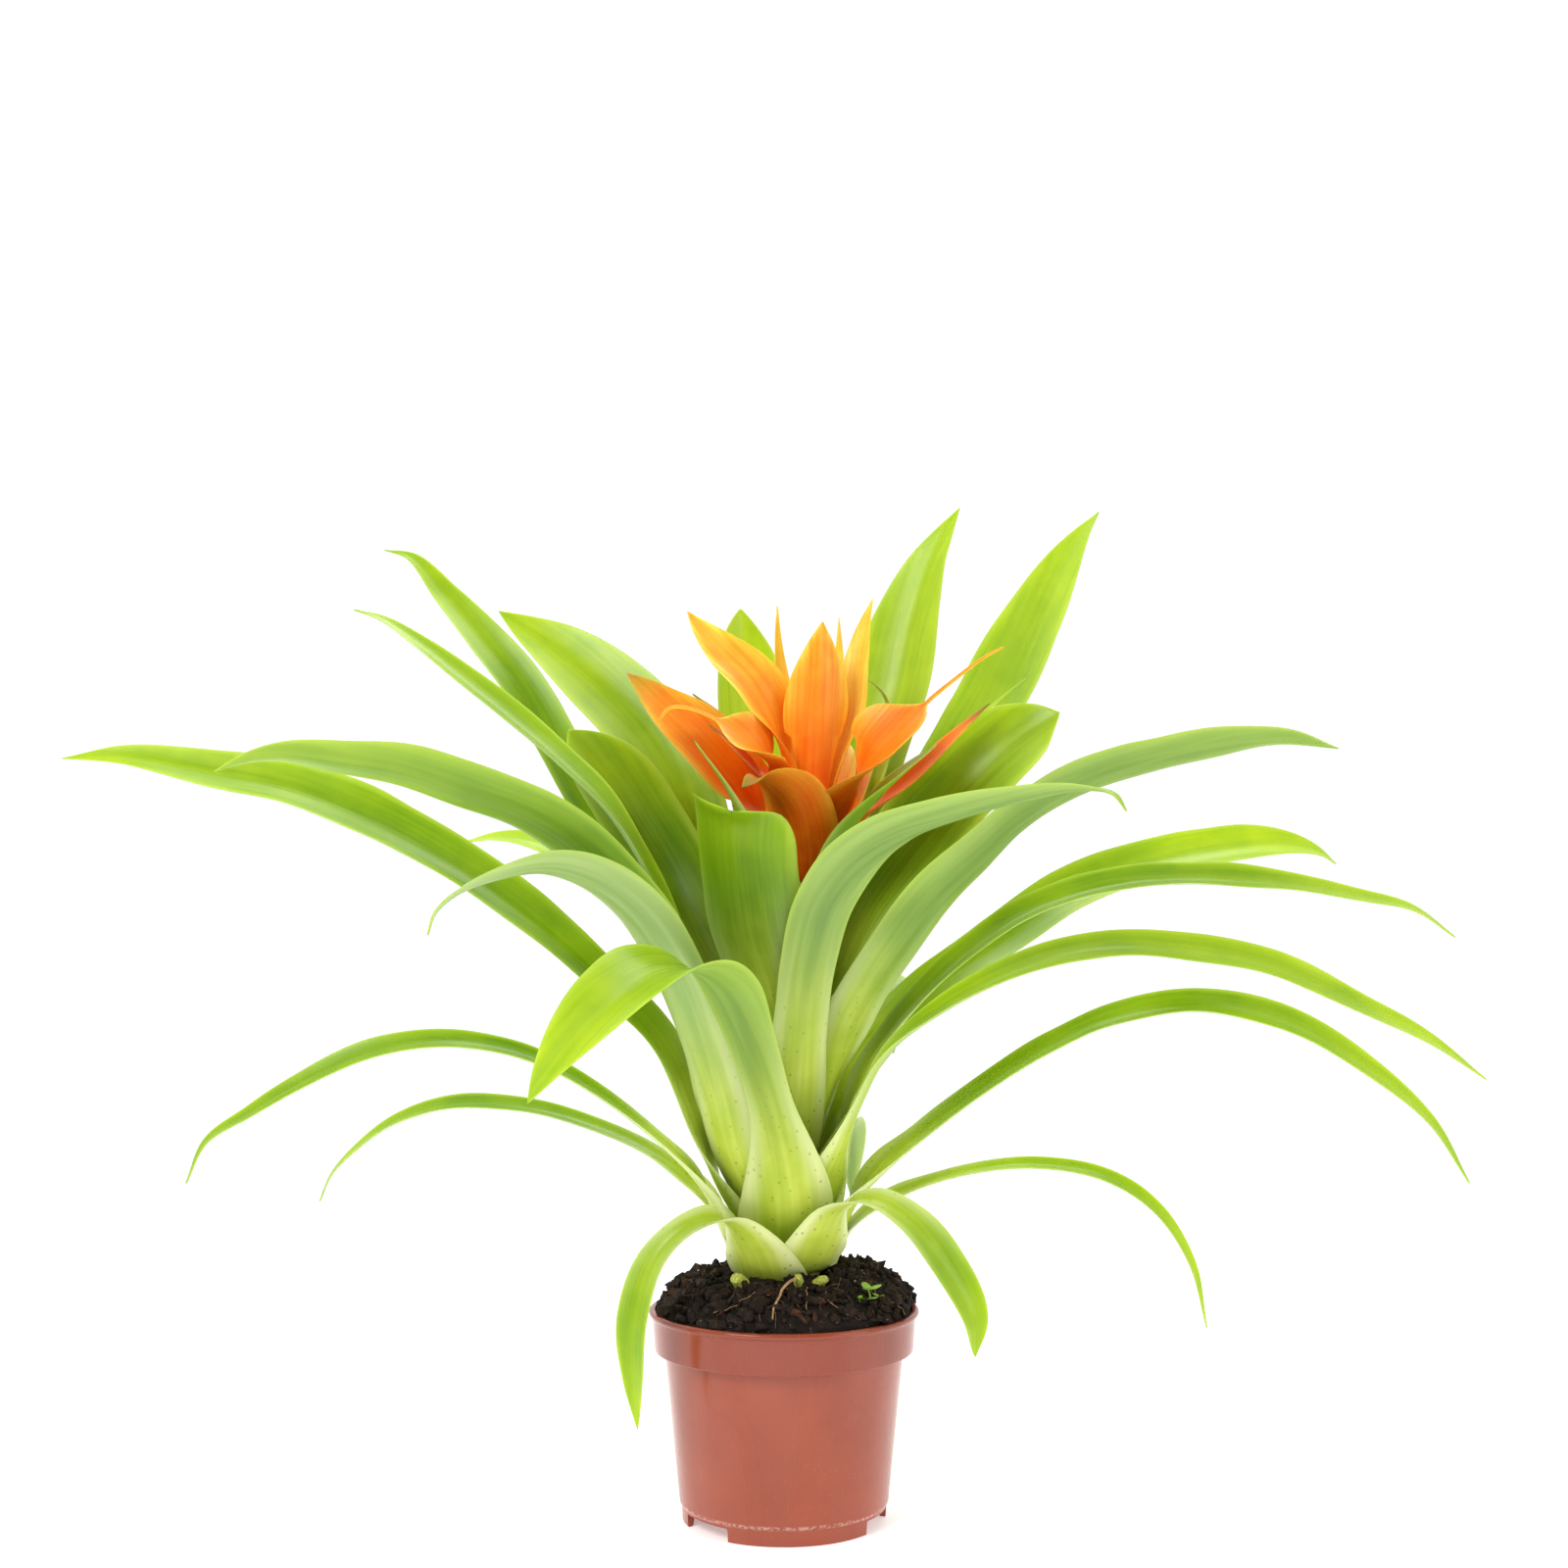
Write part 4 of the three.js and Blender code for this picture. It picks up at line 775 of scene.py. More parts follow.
def leaf_material():
    """Living leaf over lengthwise veins: green above by the blade's dark and lime values, the dark green
    partly its own colour and partly painted shade, limier at the margins and towards the tip, with a
    painted highlight line along each margin and an underside of its own."""
    material, tree, shader = new_material(
        "leaf_skin", IOR=1.42, Specular_IOR_Level=0.36, Subsurface_Weight=0.12,
        Subsurface_Radius=(0.6, 1.0, 0.15), Subsurface_Scale=0.002)
    v = blade_inputs(tree)
    veins = placed(tree, lengthwise, Across=v["place"], Reach=v["reach"], Seed=v["seed"], Pitch=3.0)
    patch = placed(tree, drift, Size=30.0)["Patch"]
    away = calc(tree, "ABSOLUTE", v["across"])
    tone = calc(tree, "MULTIPLY_ADD", veins["Wide"], 0.28, calc(tree, "MULTIPLY", patch, 0.5))
    fresh = blend(tree, tone, (0.07, 0.215, 0.002), (0.19, 0.37, 0.005))
    dark = blend(tree, tone, (0.016, 0.085, 0.0003), (0.07, 0.205, 0.0006))
    lime = blend(tree, tone, (0.34, 0.54, 0.006), (0.56, 0.72, 0.012))
    # Painted shade in part: the dark green goes most down the middle of the blade and least at its margins.
    middle = span(tree, away, 0.0, 0.95, 1.0, 0.15)
    upper = blend(tree, calc(tree, "MULTIPLY", v["deep_and_shade"], middle), fresh, dark)
    tipward = span(tree, v["along"], 0.6, 1.0, 0.0, 0.42)
    limeness = calc(tree, "ADD", v["lime"],
                    calc(tree, "ADD", tipward, span(tree, away, 0.6, 1.0, 0.0, 0.22)), clamp=True)
    upper = blend(tree, limeness, upper, lime)
    upper = blend(tree, span(tree, veins["Fine"], 0.0, 1.0, 0.0, 0.1), upper, (0.42, 0.62, 0.03))

    under_tone = calc(tree, "MULTIPLY_ADD", veins["Wide"], 0.35, span(tree, away, 0.1, 0.9, 0.0, 0.6))
    under = blend(tree, under_tone, (0.105, 0.215, 0.025), (0.30, 0.46, 0.05))
    under = blend(tree, calc(tree, "MULTIPLY", limeness, 0.6), under, (0.36, 0.55, 0.04))
    bleached = blend(tree, under_tone, (0.28, 0.42, 0.13), (0.52, 0.65, 0.27))
    under = blend(tree, v["pale"], under, bleached)
    skin = blend(tree, calc(tree, "MAXIMUM", v["top"], v["even"]), under, upper)

    # The sheath is bleached where light never reached it, most at its margins.
    foot = span(tree, v["reach"], 0.25, 1.15, 1.0, 0.0)
    cream = blend(tree, calc(tree, "MULTIPLY_ADD", veins["Wide"], 0.4, calc(tree, "MULTIPLY", patch, 0.6)),
                  (0.46, 0.60, 0.03), (0.74, 0.82, 0.12))
    cream = blend(tree, span(tree, away, 0.35, 1.0, 0.0, 0.85), cream, (0.90, 0.93, 0.52))
    skin = blend(tree, calc(tree, "MULTIPLY", foot, 0.93), skin, cream)
    dots = placed(tree, specks, Size=2.6, Amount=0.2)["Mask"]
    skin = blend(tree, calc(tree, "MULTIPLY", dots, calc(tree, "MULTIPLY", foot, 0.4)), skin,
                 (0.16, 0.15, 0.03))
    # Painted highlight: a lighter yellow-green line along each margin of the leaf.
    skin = blend(tree, calc(tree, "MULTIPLY", v["edge"], 0.4), skin, (0.55, 0.70, 0.10))
    dried = calc(tree, "MULTIPLY", span(tree, v["along"], 0.965, 1.0), v["spoilt"])
    skin = blend(tree, dried, skin, (0.34, 0.20, 0.06))
    shine = span(tree, v["top"], 0.0, 1.0, 0.40, 0.27)
    grain = calc(tree, "MULTIPLY_ADD", veins["Fine"], 0.08, shine)
    finish_material(tree, shader, skin, grain, veins["Height"], 0.12, 0.1)
    return material


def bract_material():
    """Coloured bract, made from the same attributes as a leaf."""
    material, tree, shader = new_material(
        "bract_skin", IOR=1.42, Specular_IOR_Level=0.3, Subsurface_Weight=0.25,
        Subsurface_Radius=(1.0, 0.4, 0.08), Subsurface_Scale=0.003)
    v = blade_inputs(tree)
    veins = placed(tree, lengthwise, Across=v["place"], Reach=v["reach"], Seed=v["seed"], Pitch=4.5)
    patch = placed(tree, drift, Size=14.0)["Patch"]
    tone = calc(tree, "MULTIPLY_ADD", veins["Wide"], 0.5, calc(tree, "MULTIPLY", patch, 0.5))
    orange = blend(tree, tone, (0.95, 0.17, 0.003), (1.0, 0.27, 0.008))
    gold = blend(tree, tone, (1.0, 0.52, 0.025), (1.0, 0.80, 0.09))
    red = blend(tree, tone, (0.66, 0.05, 0.003), (0.92, 0.13, 0.005))
    rim = span(tree, calc(tree, "ABSOLUTE", v["across"]), 0.45, 1.0, 0.0, 0.6)
    tipward = span(tree, v["along"], 0.5, 1.0, 0.0, 0.35)
    golden = calc(tree, "ADD", v["lime"], calc(tree, "ADD", rim, tipward), clamp=True)
    skin = blend(tree, golden, orange, gold)
    footward = span(tree, v["along"], 0.15, 0.6, 0.3, 0.0)
    outer = calc(tree, "MULTIPLY", calc(tree, "SUBTRACT", 1.0, v["top"]), 0.12)
    # The dark red is partly the bract's own colour and partly painted shade, through the blade's dark
    # value.
    redness = calc(tree, "ADD", v["deep_and_shade"], calc(tree, "ADD", footward, outer), clamp=True)
    skin = blend(tree, redness, skin, red)
    skin = blend(tree, span(tree, veins["Fine"], 0.4, 1.0, 0.0, 0.14), skin, (0.72, 0.10, 0.005))
    spoilt = calc(tree, "MULTIPLY", span(tree, v["along"], 0.8, 1.0), v["spoilt"])
    blot = blend(tree, patch, (0.20, 0.14, 0.03), (0.22, 0.36, 0.02))
    skin = blend(tree, spoilt, skin, blot)
    grain = span(tree, veins["Fine"], 0.0, 1.0, 0.28, 0.42)
    finish_material(tree, shader, skin, grain, veins["Height"], 0.35, 0.25)
    return material


def pot_material():
    """Moulded plastic with a patchy tone and faint upright lines, painted shade on the collar and painted
    light towards the foot.
    """
    material, tree, shader = new_material("pot_plastic", IOR=1.5, Coat_Roughness=0.12)
    patch = placed(tree, drift, Size=34.0)
    fine = placed(tree, drift, Size=1.6)
    dust = placed(tree, specks, Size=1.3, Amount=0.12)["Mask"]
    place = node(tree, "SeparateXYZ", a=object_point(tree))
    turn = calc(tree, "ARCTAN2", place.outputs[1], place.outputs[0])
    lines = placed(tree, lengthwise, Across=turn, Reach=calc(tree, "MULTIPLY", place.outputs[2], 0.006),
                   Seed=7.7, Pitch=3.0)
    height = node(tree, "SeparateXYZ", a=object_point(tree)).outputs[2]
    low = span(tree, height, 26.0, 2.0)
    band = span(tree, height, 72.0, 76.0)
    skin = blend(tree, patch["Patch"], (0.31, 0.052, 0.020), (0.36, 0.064, 0.027))
    # Painted shade: the collar from 72 mm up is darker than the body below it.
    skin = blend(tree, calc(tree, "MULTIPLY", band, 0.6), skin, (0.25, 0.036, 0.012))
    # Painted light: the wall is lighter towards the foot, as if lit from the pale floor.
    skin = blend(tree, calc(tree, "MULTIPLY", low, 0.3), skin, (0.42, 0.09, 0.045))
    skin = blend(tree, calc(tree, "MULTIPLY", dust, 0.12), skin, (0.60, 0.30, 0.20))
    seam = calc(tree, "MULTIPLY",
                span(tree, calc(tree, "ABSOLUTE", calc(tree, "SUBTRACT", height, 8.0)), 1.4, 0.2),
                span(tree, fine["Noise"], 0.42, 0.6))
    skin = blend(tree, calc(tree, "MULTIPLY", seam, 0.6), skin, (0.78, 0.48, 0.38))
    grain = span(tree, lines["Wide"], 0.0, 1.0, 0.20, 0.30)
    tree.links.new(span(tree, lines["Wide"], 0.0, 1.0, 0.05, 0.2), shader.inputs["Coat Weight"])
    finish_material(tree, shader, skin, grain, lines["Fine"], 0.1, 0.02)
    return material


def soil_material(name, low, high, fleck, share):
    """Peat: two tones of a fine grain, with flecks of another colour in a share of cells."""
    material, tree, shader = new_material(name, IOR=1.4, Specular_IOR_Level=0.3)
    grain = placed(tree, drift, Size=1.4)
    clump = placed(tree, drift, Size=7.0)["Patch"]
    tone = calc(tree, "MULTIPLY", grain["Patch"], span(tree, clump, 0.0, 1.0, 0.35, 1.0))
    skin = blend(tree, tone, low, high)
    dots = placed(tree, specks, Size=2.2, Amount=share)["Mask"]
    skin = blend(tree, calc(tree, "MULTIPLY", dots, 0.7), skin, fleck)
    finish_material(tree, shader, skin, span(tree, grain["Noise"], 0.3, 0.7, 0.7, 0.95), grain["Noise"],
                    0.8, 0.8)
    return material


def strand_material(name, low, high, shine=0.6):
    """Bark-like root or fresh sprout: two tones of a small grain, matt."""
    material, tree, shader = new_material(name, IOR=1.45)
    grain = placed(tree, drift, Size=1.1)
    skin = blend(tree, grain["Patch"], low, high)
    skin = blend(tree, calc(tree, "MULTIPLY", placed(tree, specks, Size=1.6, Amount=0.3)["Mask"], 0.4),
                 skin, low)
    finish_material(tree, shader, skin, span(tree, grain["Noise"], 0.3, 0.7, shine, shine + 0.15),
                    grain["Noise"], 0.5, 0.2)
    return material


def stem_material():
    """Pale green below, orange above, with fine upright lines."""
    material, tree, shader = new_material("stem_skin", IOR=1.45)
    place = node(tree, "SeparateXYZ", a=object_point(tree))
    turn = calc(tree, "ARCTAN2", place.outputs[1], place.outputs[0])
    lines = placed(tree, lengthwise, Across=turn, Reach=calc(tree, "MULTIPLY", place.outputs[2], 0.01),
                   Seed=3.1, Pitch=14.0)
    green = blend(tree, lines["Wide"], (0.42, 0.52, 0.15), (0.58, 0.66, 0.28))
    skin = blend(tree, span(tree, place.outputs[2], 225.0, 290.0), green,
                 blend(tree, lines["Wide"], (0.62, 0.12, 0.01), (0.86, 0.28, 0.03)))
    finish_material(tree, shader, skin, span(tree, lines["Fine"], 0.0, 1.0, 0.4, 0.55), lines["Height"],
                    0.4, 0.3)
    return material


LEAF_SKIN = leaf_material()
BRACT_SKIN = bract_material()
POT_PLASTIC = pot_material()
STEM_SKIN = stem_material()
PEAT = soil_material("peat", (0.005, 0.003, 0.002), (0.026, 0.015, 0.010), (0.10, 0.06, 0.035), 0.12)
CRUMB_PEAT = soil_material("peat_crumb", (0.008, 0.005, 0.003), (0.045, 0.027, 0.018), (0.16, 0.10, 0.06),
                           0.14)
CHIP_BARK = soil_material("bark_chip", (0.03, 0.012, 0.006), (0.12, 0.05, 0.025), (0.2, 0.11, 0.06), 0.15)
GRIT = soil_material("pale_grit", (0.5, 0.46, 0.4), (0.78, 0.75, 0.7), (0.35, 0.28, 0.2), 0.1)
ROOT_BARK = strand_material("root_bark", (0.30, 0.14, 0.06), (0.58, 0.36, 0.18))
FIBRE = strand_material("peat_fibre", (0.05, 0.026, 0.014), (0.24, 0.14, 0.08), 0.75)
SPROUT = strand_material("fresh_sprout", (0.16, 0.36, 0.02), (0.38, 0.60, 0.07), 0.4)
STUB = strand_material("leaf_stub", (0.30, 0.36, 0.04), (0.62, 0.62, 0.12), 0.45)


# ---------------------------------------------------------------- leaves and bracts

for seed, blade in enumerate(LEAVES):
    points, faces, values = blade_surface(blade, False, seed + 1)
    add_piece(blade.name + "_leaf", points, faces, LEAF_SKIN, "leaf", ["leaf_" + blade.name], values)

for seed, blade in enumerate(BRACTS):
    leafy = blade.name in ("foot_pale", "left_green")
    points, faces, values = blade_surface(blade, True, seed + 61)
    add_piece(blade.name + "_bract", points, faces, LEAF_SKIN if leafy else BRACT_SKIN,
              "leaf" if leafy else "bract", ["bract_" + blade.name], values)


# ---------------------------------------------------------------- stem

heights = np.linspace(STEM_HEIGHTS[0], STEM_HEIGHTS[-1], 120)
outline = np.stack([stem_radius(heights), heights], -1)
outline = np.vstack([[0, heights[0]], outline, [1.5, heights[-1] + 0.6], [0, heights[-1] + 0.8]])


def leaf_scars(radius, bearing, height):
    """Shallow spiral ridges where old leaves sat."""
    return radius + 0.35 * np.sin(bearing * 3 + height * 0.55), height


points, faces = turned(outline, TURN * np.arange(48) / 48, leaf_scars)
points[:, 0] += stem_centre(points[:, 2])
add_piece("flower_stem", points, faces, STEM_SKIN, "stem", ["stem"])


# ---------------------------------------------------------------- pot


def inside_radius(z):
    """The wall's inner radius at a height: the straight taper of the body or the collar, less
    the wall, or less twice the wall inside the collar."""
    if z > BAND_TOP:
        return mix(BAND_FOOT_RADIUS, RIM_RADIUS, (z - BAND_TOP) / BAND_HEIGHT) - 2 * WALL
    return mix(BODY_FOOT_RADIUS, BODY_TOP_RADIUS,
               (z - FOOT_RING_HEIGHT) / (BAND_TOP - FOOT_RING_HEIGHT)) - WALL


wall = [
    (0, FLOOR_HEIGHT - WALL), (FOOT_RING_RADIUS - 4, FLOOR_HEIGHT - WALL), (FOOT_RING_RADIUS - 3, 0),
    (FOOT_RING_RADIUS - 0.4, 0), (FOOT_RING_RADIUS, FOOT_RING_HEIGHT - 0.9),
    (BODY_FOOT_RADIUS, FOOT_RING_HEIGHT),
    (BODY_TOP_RADIUS, BAND_TOP - 0.8), (BAND_FOOT_RADIUS, BAND_TOP), (RIM_RADIUS - 1.5, POT_HEIGHT - 2.9),
    (RIM_RADIUS, POT_HEIGHT - 2.2), (RIM_RADIUS, POT_HEIGHT - 0.7), (RIM_RADIUS - 0.9, POT_HEIGHT),
    (inside_radius(POT_HEIGHT), POT_HEIGHT), (inside_radius(BAND_TOP + 1), BAND_TOP + 1),
    (inside_radius(BAND_TOP), BAND_TOP - 1), (inside_radius(FLOOR_HEIGHT + 2), FLOOR_HEIGHT + 2),
    (inside_radius(FLOOR_HEIGHT) - 2, FLOOR_HEIGHT), (0, FLOOR_HEIGHT),
]


def mould_marks(radius, bearing, height):
    """A hair-thin raised line up the outside where the mould halves met, and a faint
    unevenness of the moulded wall."""
    outside = (height > FOOT_RING_HEIGHT) & (height < BAND_TOP
                                             - 1) & (radius > inside_radius(height.mean()) - 6)
    raised = sum(np.exp(-((bearing - radians(line)) * 52 / 0.45) ** 2) for line in MOULD_BEARINGS)
    uneven = rough(np.stack([np.cos(bearing) * 2.2, np.sin(bearing) * 2.2, height / 24], -1), 5)
    return radius + 0.16 * raised * outside + 0.12 * uneven, height


round_about = np.concatenate([
    TURN * np.arange(180) / 180 - pi,
    *[radians(line) + np.array([-0.016, -0.011, -0.007, -0.0035, 0.0, 0.0035, 0.007, 0.011,
                                0.016]) for line in MOULD_BEARINGS],
])
pot_profile = divided(rounded(wall, 0.55), 2.4)
pot = add_piece("nursery_pot", *turned(pot_profile, np.unique(np.round(round_about, 5)), mould_marks),
                POT_PLASTIC, "pot", ["pot"])


def cutter(points, faces):
    """A closed piece to cut from the pot."""
    piece = add_piece("cutter", points, faces, POT_PLASTIC, "pot")
    return piece


def bar(bearing, length, half_width, top, corner=1.2):
    """A radial bar with rounded upper corners, out through the foot ring."""
    outline = rounded([(0, -1), (half_width, -1), (half_width, top), (-half_width, top), (-half_width, -1),
                       (0, -1)], corner, 5)[1:-1]
    reach = np.array([38.0, 38.0 + length])
    way, aside = np.array([np.cos(bearing), np.sin(bearing), 0]), np.array(
        [-np.sin(bearing), np.cos(bearing), 0])
    rings = (way * reach[:, None, None] + aside * outline[None, :, :1]
             + np.array([0, 0, 1]) * outline[None, :, 1:])
    return closed_tube(rings, rings[0].mean(0), rings[1].mean(0))


cutters = [cutter(*bar(radians(bearing), 14, 14, 5.9)) for bearing in NOTCH_BEARINGS]
for bearing in DRAIN_BEARINGS:
    points, faces = turned(np.array([(0, 2.0), (5, 2.0), (5, 12.0), (0, 12.0)]), TURN * np.arange(32) / 32)
    points[:, :2] += 27 * np.array([np.cos(radians(bearing)), np.sin(radians(bearing))])
    cutters.append(cutter(points, faces))
cut_away(pot, cutters)
pot.data.set_sharp_from_angle(angle=radians(42))


# ---------------------------------------------------------------- soil

MOUND_RADII = (0, 19, 25.5, 30, 36, 46, 52.8, 55.8, 57)
MOUND_HEIGHTS = (109, 109, 109, 108.5, 107.5, 104, 99.5, 95.5, 92)


def soil_height(x, y):
    """The mound: a rounded heap, lumpy at three sizes, higher at the right back."""
    radius = np.hypot(x, y)
    place = np.stack([x, y, 0 * x], -1)
    lumps = 2.4 * rough(place / 8, 3) + 1.5 * rough(place / 3.4, 4) + 0.8 * rough(place / 1.5, 5)
    settle = 1 - 0.75 * ease(radius, 50, 57)
    tilt = (2.6 * x / 57 + 1.6 * y / 57) * ease(radius, 20, 48)
    return np.interp(radius, MOUND_RADII, MOUND_HEIGHTS) + lumps * settle + tilt


def lumpy_top(radius, bearing, height):
    """Lays everything higher than 88 mm on the mound's own surface."""
    top = height > 88
    lumped = soil_height(radius * np.cos(bearing), radius * np.sin(bearing))
    return radius, np.where(top, lumped, height)


ball = np.array([
    (0, FLOOR_HEIGHT + 0.4), (inside_radius(FLOOR_HEIGHT) - 2.4, FLOOR_HEIGHT + 0.4),
    (inside_radius(FLOOR_HEIGHT + 4) - 0.4, FLOOR_HEIGHT + 4), (inside_radius(70) - 0.4, 70),
    (inside_radius(73) - 0.4, 72.5), (inside_radius(73) - 0.4, 78), (inside_radius(86) - 0.6, 86),
])
top_radii = np.linspace(inside_radius(90) - 0.5, 0.6, 84)
ball = np.vstack([divided(ball, 6), np.stack([top_radii, np.full(84, 100.0)], -1), [0, 108]])
add_piece("peat_mound", *turned(ball, TURN * np.arange(260) / 260, lumpy_top), PEAT, "soil", ["soil"])


def blob_template():
    """A ball of 26 points: two poles and four rings of six, as quads with capped ends."""
    rise = np.radians([-54, -18, 18, 54])
    t = TURN * np.arange(6) / 6
    rings = np.stack([np.cos(rise)[:, None] * np.cos(t), np.cos(rise)[:, None] * np.sin(t),
                      np.repeat(np.sin(rise)[:, None], 6, 1)], -1)
    return closed_tube(rings, [0, 0, -1], [0, 0, 1])


def scattered(places, sizes, flatness, dice, lumpiness=0.35):
    """A lump at each place: the ball, stretched, roughened and turned at random, all worked
    out as one array of (lump, point, axis)."""
    template, faces = blob_template()
    count = len(places)
    shape = template[None] * (1 + lumpiness * rough(template[None] * 1.4 + dice.uniform(0, 90,
            (count, 1, 3)), 2))[..., None]
    stretch = np.stack([dice.uniform(0.7, 1.35, count), dice.uniform(0.6, 1.1, count),
                        flatness * dice.uniform(0.7, 1.1, count)], -1)
    shape = shape * (stretch * sizes[:, None])[:, None]
    way = unit(dice.normal(size=(count, 3)) * (1, 1, 0.5))
    x_axis = unit(np.cross(way, (0.2, 0.1, 1.0)))
    axes = np.stack([x_axis, np.cross(way, x_axis), way], 1)
    points = np.einsum("npk,nkx->npx", shape, axes) + places[:, None]
    start = (np.arange(count) * len(template))[:, None, None]
    return points.reshape(-1, 3), [(part[None] + start).reshape(-1, part.shape[1]) for part in faces]


def on_soil(dice, count, inner, outer, sink=0.0):
    """Random seats on the mound between two radii. The radius is the square root of an even
    draw between their squares, so that the seats are equally thick everywhere."""
    radius = np.sqrt(dice.uniform(inner**2, outer**2, count))
    bearing = dice.uniform(0, TURN, count)
    x, y = radius * np.cos(bearing), radius * np.sin(bearing)
    return np.stack([x, y, soil_height(x, y) + sink], -1)


CRUMB_COUNT = 2600
RIGHT_CLODS, OTHER_CLODS = 70, 34
CHIP_COUNT = 90
GRIT_COUNT = 46
FIBRE_COUNT = 150

dice = np.random.default_rng(41)
sizes = 0.5 + 2.9 * dice.random(CRUMB_COUNT) ** 2.6
crumb_places = on_soil(dice, CRUMB_COUNT, 21, 55.4)
add_piece("peat_crumbs", *scattered(crumb_places, sizes, 0.8, dice, 0.95), CRUMB_PEAT, "soil")

# Clods heaped against the rim, highest at the right, where they lean out over it.
bearings = np.radians(np.concatenate([dice.uniform(-50, 60, RIGHT_CLODS),
                                      dice.uniform(-180, 180, OTHER_CLODS)]))
clod_count = RIGHT_CLODS + OTHER_CLODS
radius = dice.uniform(50, 58.6, clod_count)
clod_places = np.stack([radius * np.cos(bearings), radius * np.sin(bearings),
                        93.6 + (2.0 + 7.5 * dice.random(clod_count)) * ease(np.cos(bearings), -0.1,
                                0.9) * ease(60 - radius, -2, 6)], -1)
add_piece("rim_clods", *scattered(clod_places, dice.uniform(1.2, 3.6, clod_count), 0.8, dice, 0.8),
          CRUMB_PEAT, "soil")

add_piece("bark_chips", *scattered(on_soil(dice, CHIP_COUNT, 22, 54, 0.4),
                                   dice.uniform(1.0, 3.0, CHIP_COUNT), 0.28, dice, 0.3), CHIP_BARK, "soil")
add_piece("pale_grit", *scattered(on_soil(dice, GRIT_COUNT, 24, 55, 0.3),
                                  dice.uniform(0.3, 0.75, GRIT_COUNT), 0.8, dice, 0.3), GRIT, "soil")

# Peat fibres: short curved hairs that lie on the mound with one end a little up.
strands = []
for seat in on_soil(dice, FIBRE_COUNT, 23, 54, 0.2):
    way = dice.uniform(0, TURN)
    size = dice.uniform(3, 9)
    bend = dice.uniform(-0.6, 0.6)
    steps = np.array([[0, 0], [0.5, bend * 0.35], [1.0, bend]])[:, :, None] * size
    turned_way = np.array([[np.cos(way), np.sin(way)], [-np.sin(way), np.cos(way)]])
    flat = seat[:2] + steps[:, :, 0] @ turned_way
    flat *= np.minimum(1, 56 / np.linalg.norm(flat, axis=1, keepdims=True))
    lift = np.array([0.3, 0.9, 0.5 + dice.uniform(0, 3.0)])
    height = soil_height(flat[:, 0], flat[:, 1]) + lift
    strands.append(tube_surface(np.column_stack([flat, height]), (0.24, 0.2, 0.08), 5, 3))
add_piece("peat_fibres", *joined(strands), FIBRE, "soil")


# ---------------------------------------------------------------- roots, stubs and the seedling

arch = [(9, -31, 107.5), (5.5, -35, 112), (0, -42, 109.5), (-4, -49, 102.5), (-5, -54, 97.5)]
add_piece("arched_root", *tube_surface(arch, (0.75, 0.62, 0.5, 0.35), 12, 14, 0.5, 3), ROOT_BARK, "root",
          ["loose_root"])

fine_routes = [
    ((9, -31, 106), (10, -37, 108.5), (9, -44, 105), (11, -52, 98)),
    ((12, -30, 106), (17, -36, 107), (20, -44, 103.5), (27, -49, 99)),
    ((30, -22, 104), (38, -28, 105), (46, -31, 101), (51, -27, 97.5)),
    ((-8, -31, 106), (-13, -38, 106), (-22, -44, 101.5), (-30, -45, 99)),
    ((4, -33, 108), (1, -38, 107), (-6, -41, 106), (-12, -40, 105)),
    ((38, -8, 103), (45, -14, 104), (50, -22, 99.5), (52, -30, 95.5)),
]
add_piece("fine_roots", *joined([tube_surface(route, (0.24, 0.2, 0.16, 0.09), 7, 8, 1.1, 11 + i)
                                 for i, route in enumerate(fine_routes)]), ROOT_BARK, "root")

# Stumps of old leaves that were pulled off, by the foot of the plant.
stub_routes = [
    ((-17, -27, 104), (-18.5, -30, 109), (-21, -33, 112)),
    ((13, -27, 105), (15, -30.5, 109), (18, -33, 111.5)),
    ((6, -29, 105), (6.5, -32.5, 109.5), (6, -35, 113)),
]
add_piece("leaf_stubs", *joined([tube_surface(route, radius, 12, 6, 0.5, 21 + i) for i, (route, radius) in
                                 enumerate(zip(stub_routes,
                                               ((3.8, 3.6, 2.4), (2.9, 3.0, 1.6), (2.4, 2.6, 1.5))))]),
          STUB, "leaf")


def round_leaf(seat, bearing, size, tilt):
    """A small cupped disc: a ball squashed to a tenth, wider at its far end, on a tilt."""
    rise = np.linspace(-pi / 2, pi / 2, 11)[1:-1]
    t = TURN * np.arange(18) / 18
    rings = np.stack([np.cos(rise)[:, None] * np.cos(t), np.cos(rise)[:, None] * np.sin(t),
                      np.repeat(np.sin(rise)[:, None], 18, 1)], -1)
    points, faces = closed_tube(rings, [0, 0, -1], [0, 0, 1])
    points = points * (1, 0.8, 0.1) + (0, 0, 1) * (0.18 * (points[:, :2] ** 2).sum(1))[:, None]
    points = (points + (1, 0, 0)) * size
    flat, up = points[:, 0] * np.cos(tilt) - points[:, 2] * np.sin(tilt), points[:,
            0] * np.sin(tilt) + points[:, 2] * np.cos(tilt)
    x = flat * np.cos(bearing) - points[:, 1] * np.sin(bearing)
    y = flat * np.sin(bearing) + points[:, 1] * np.cos(bearing)
    return np.stack([x, y, up], -1) + seat, faces


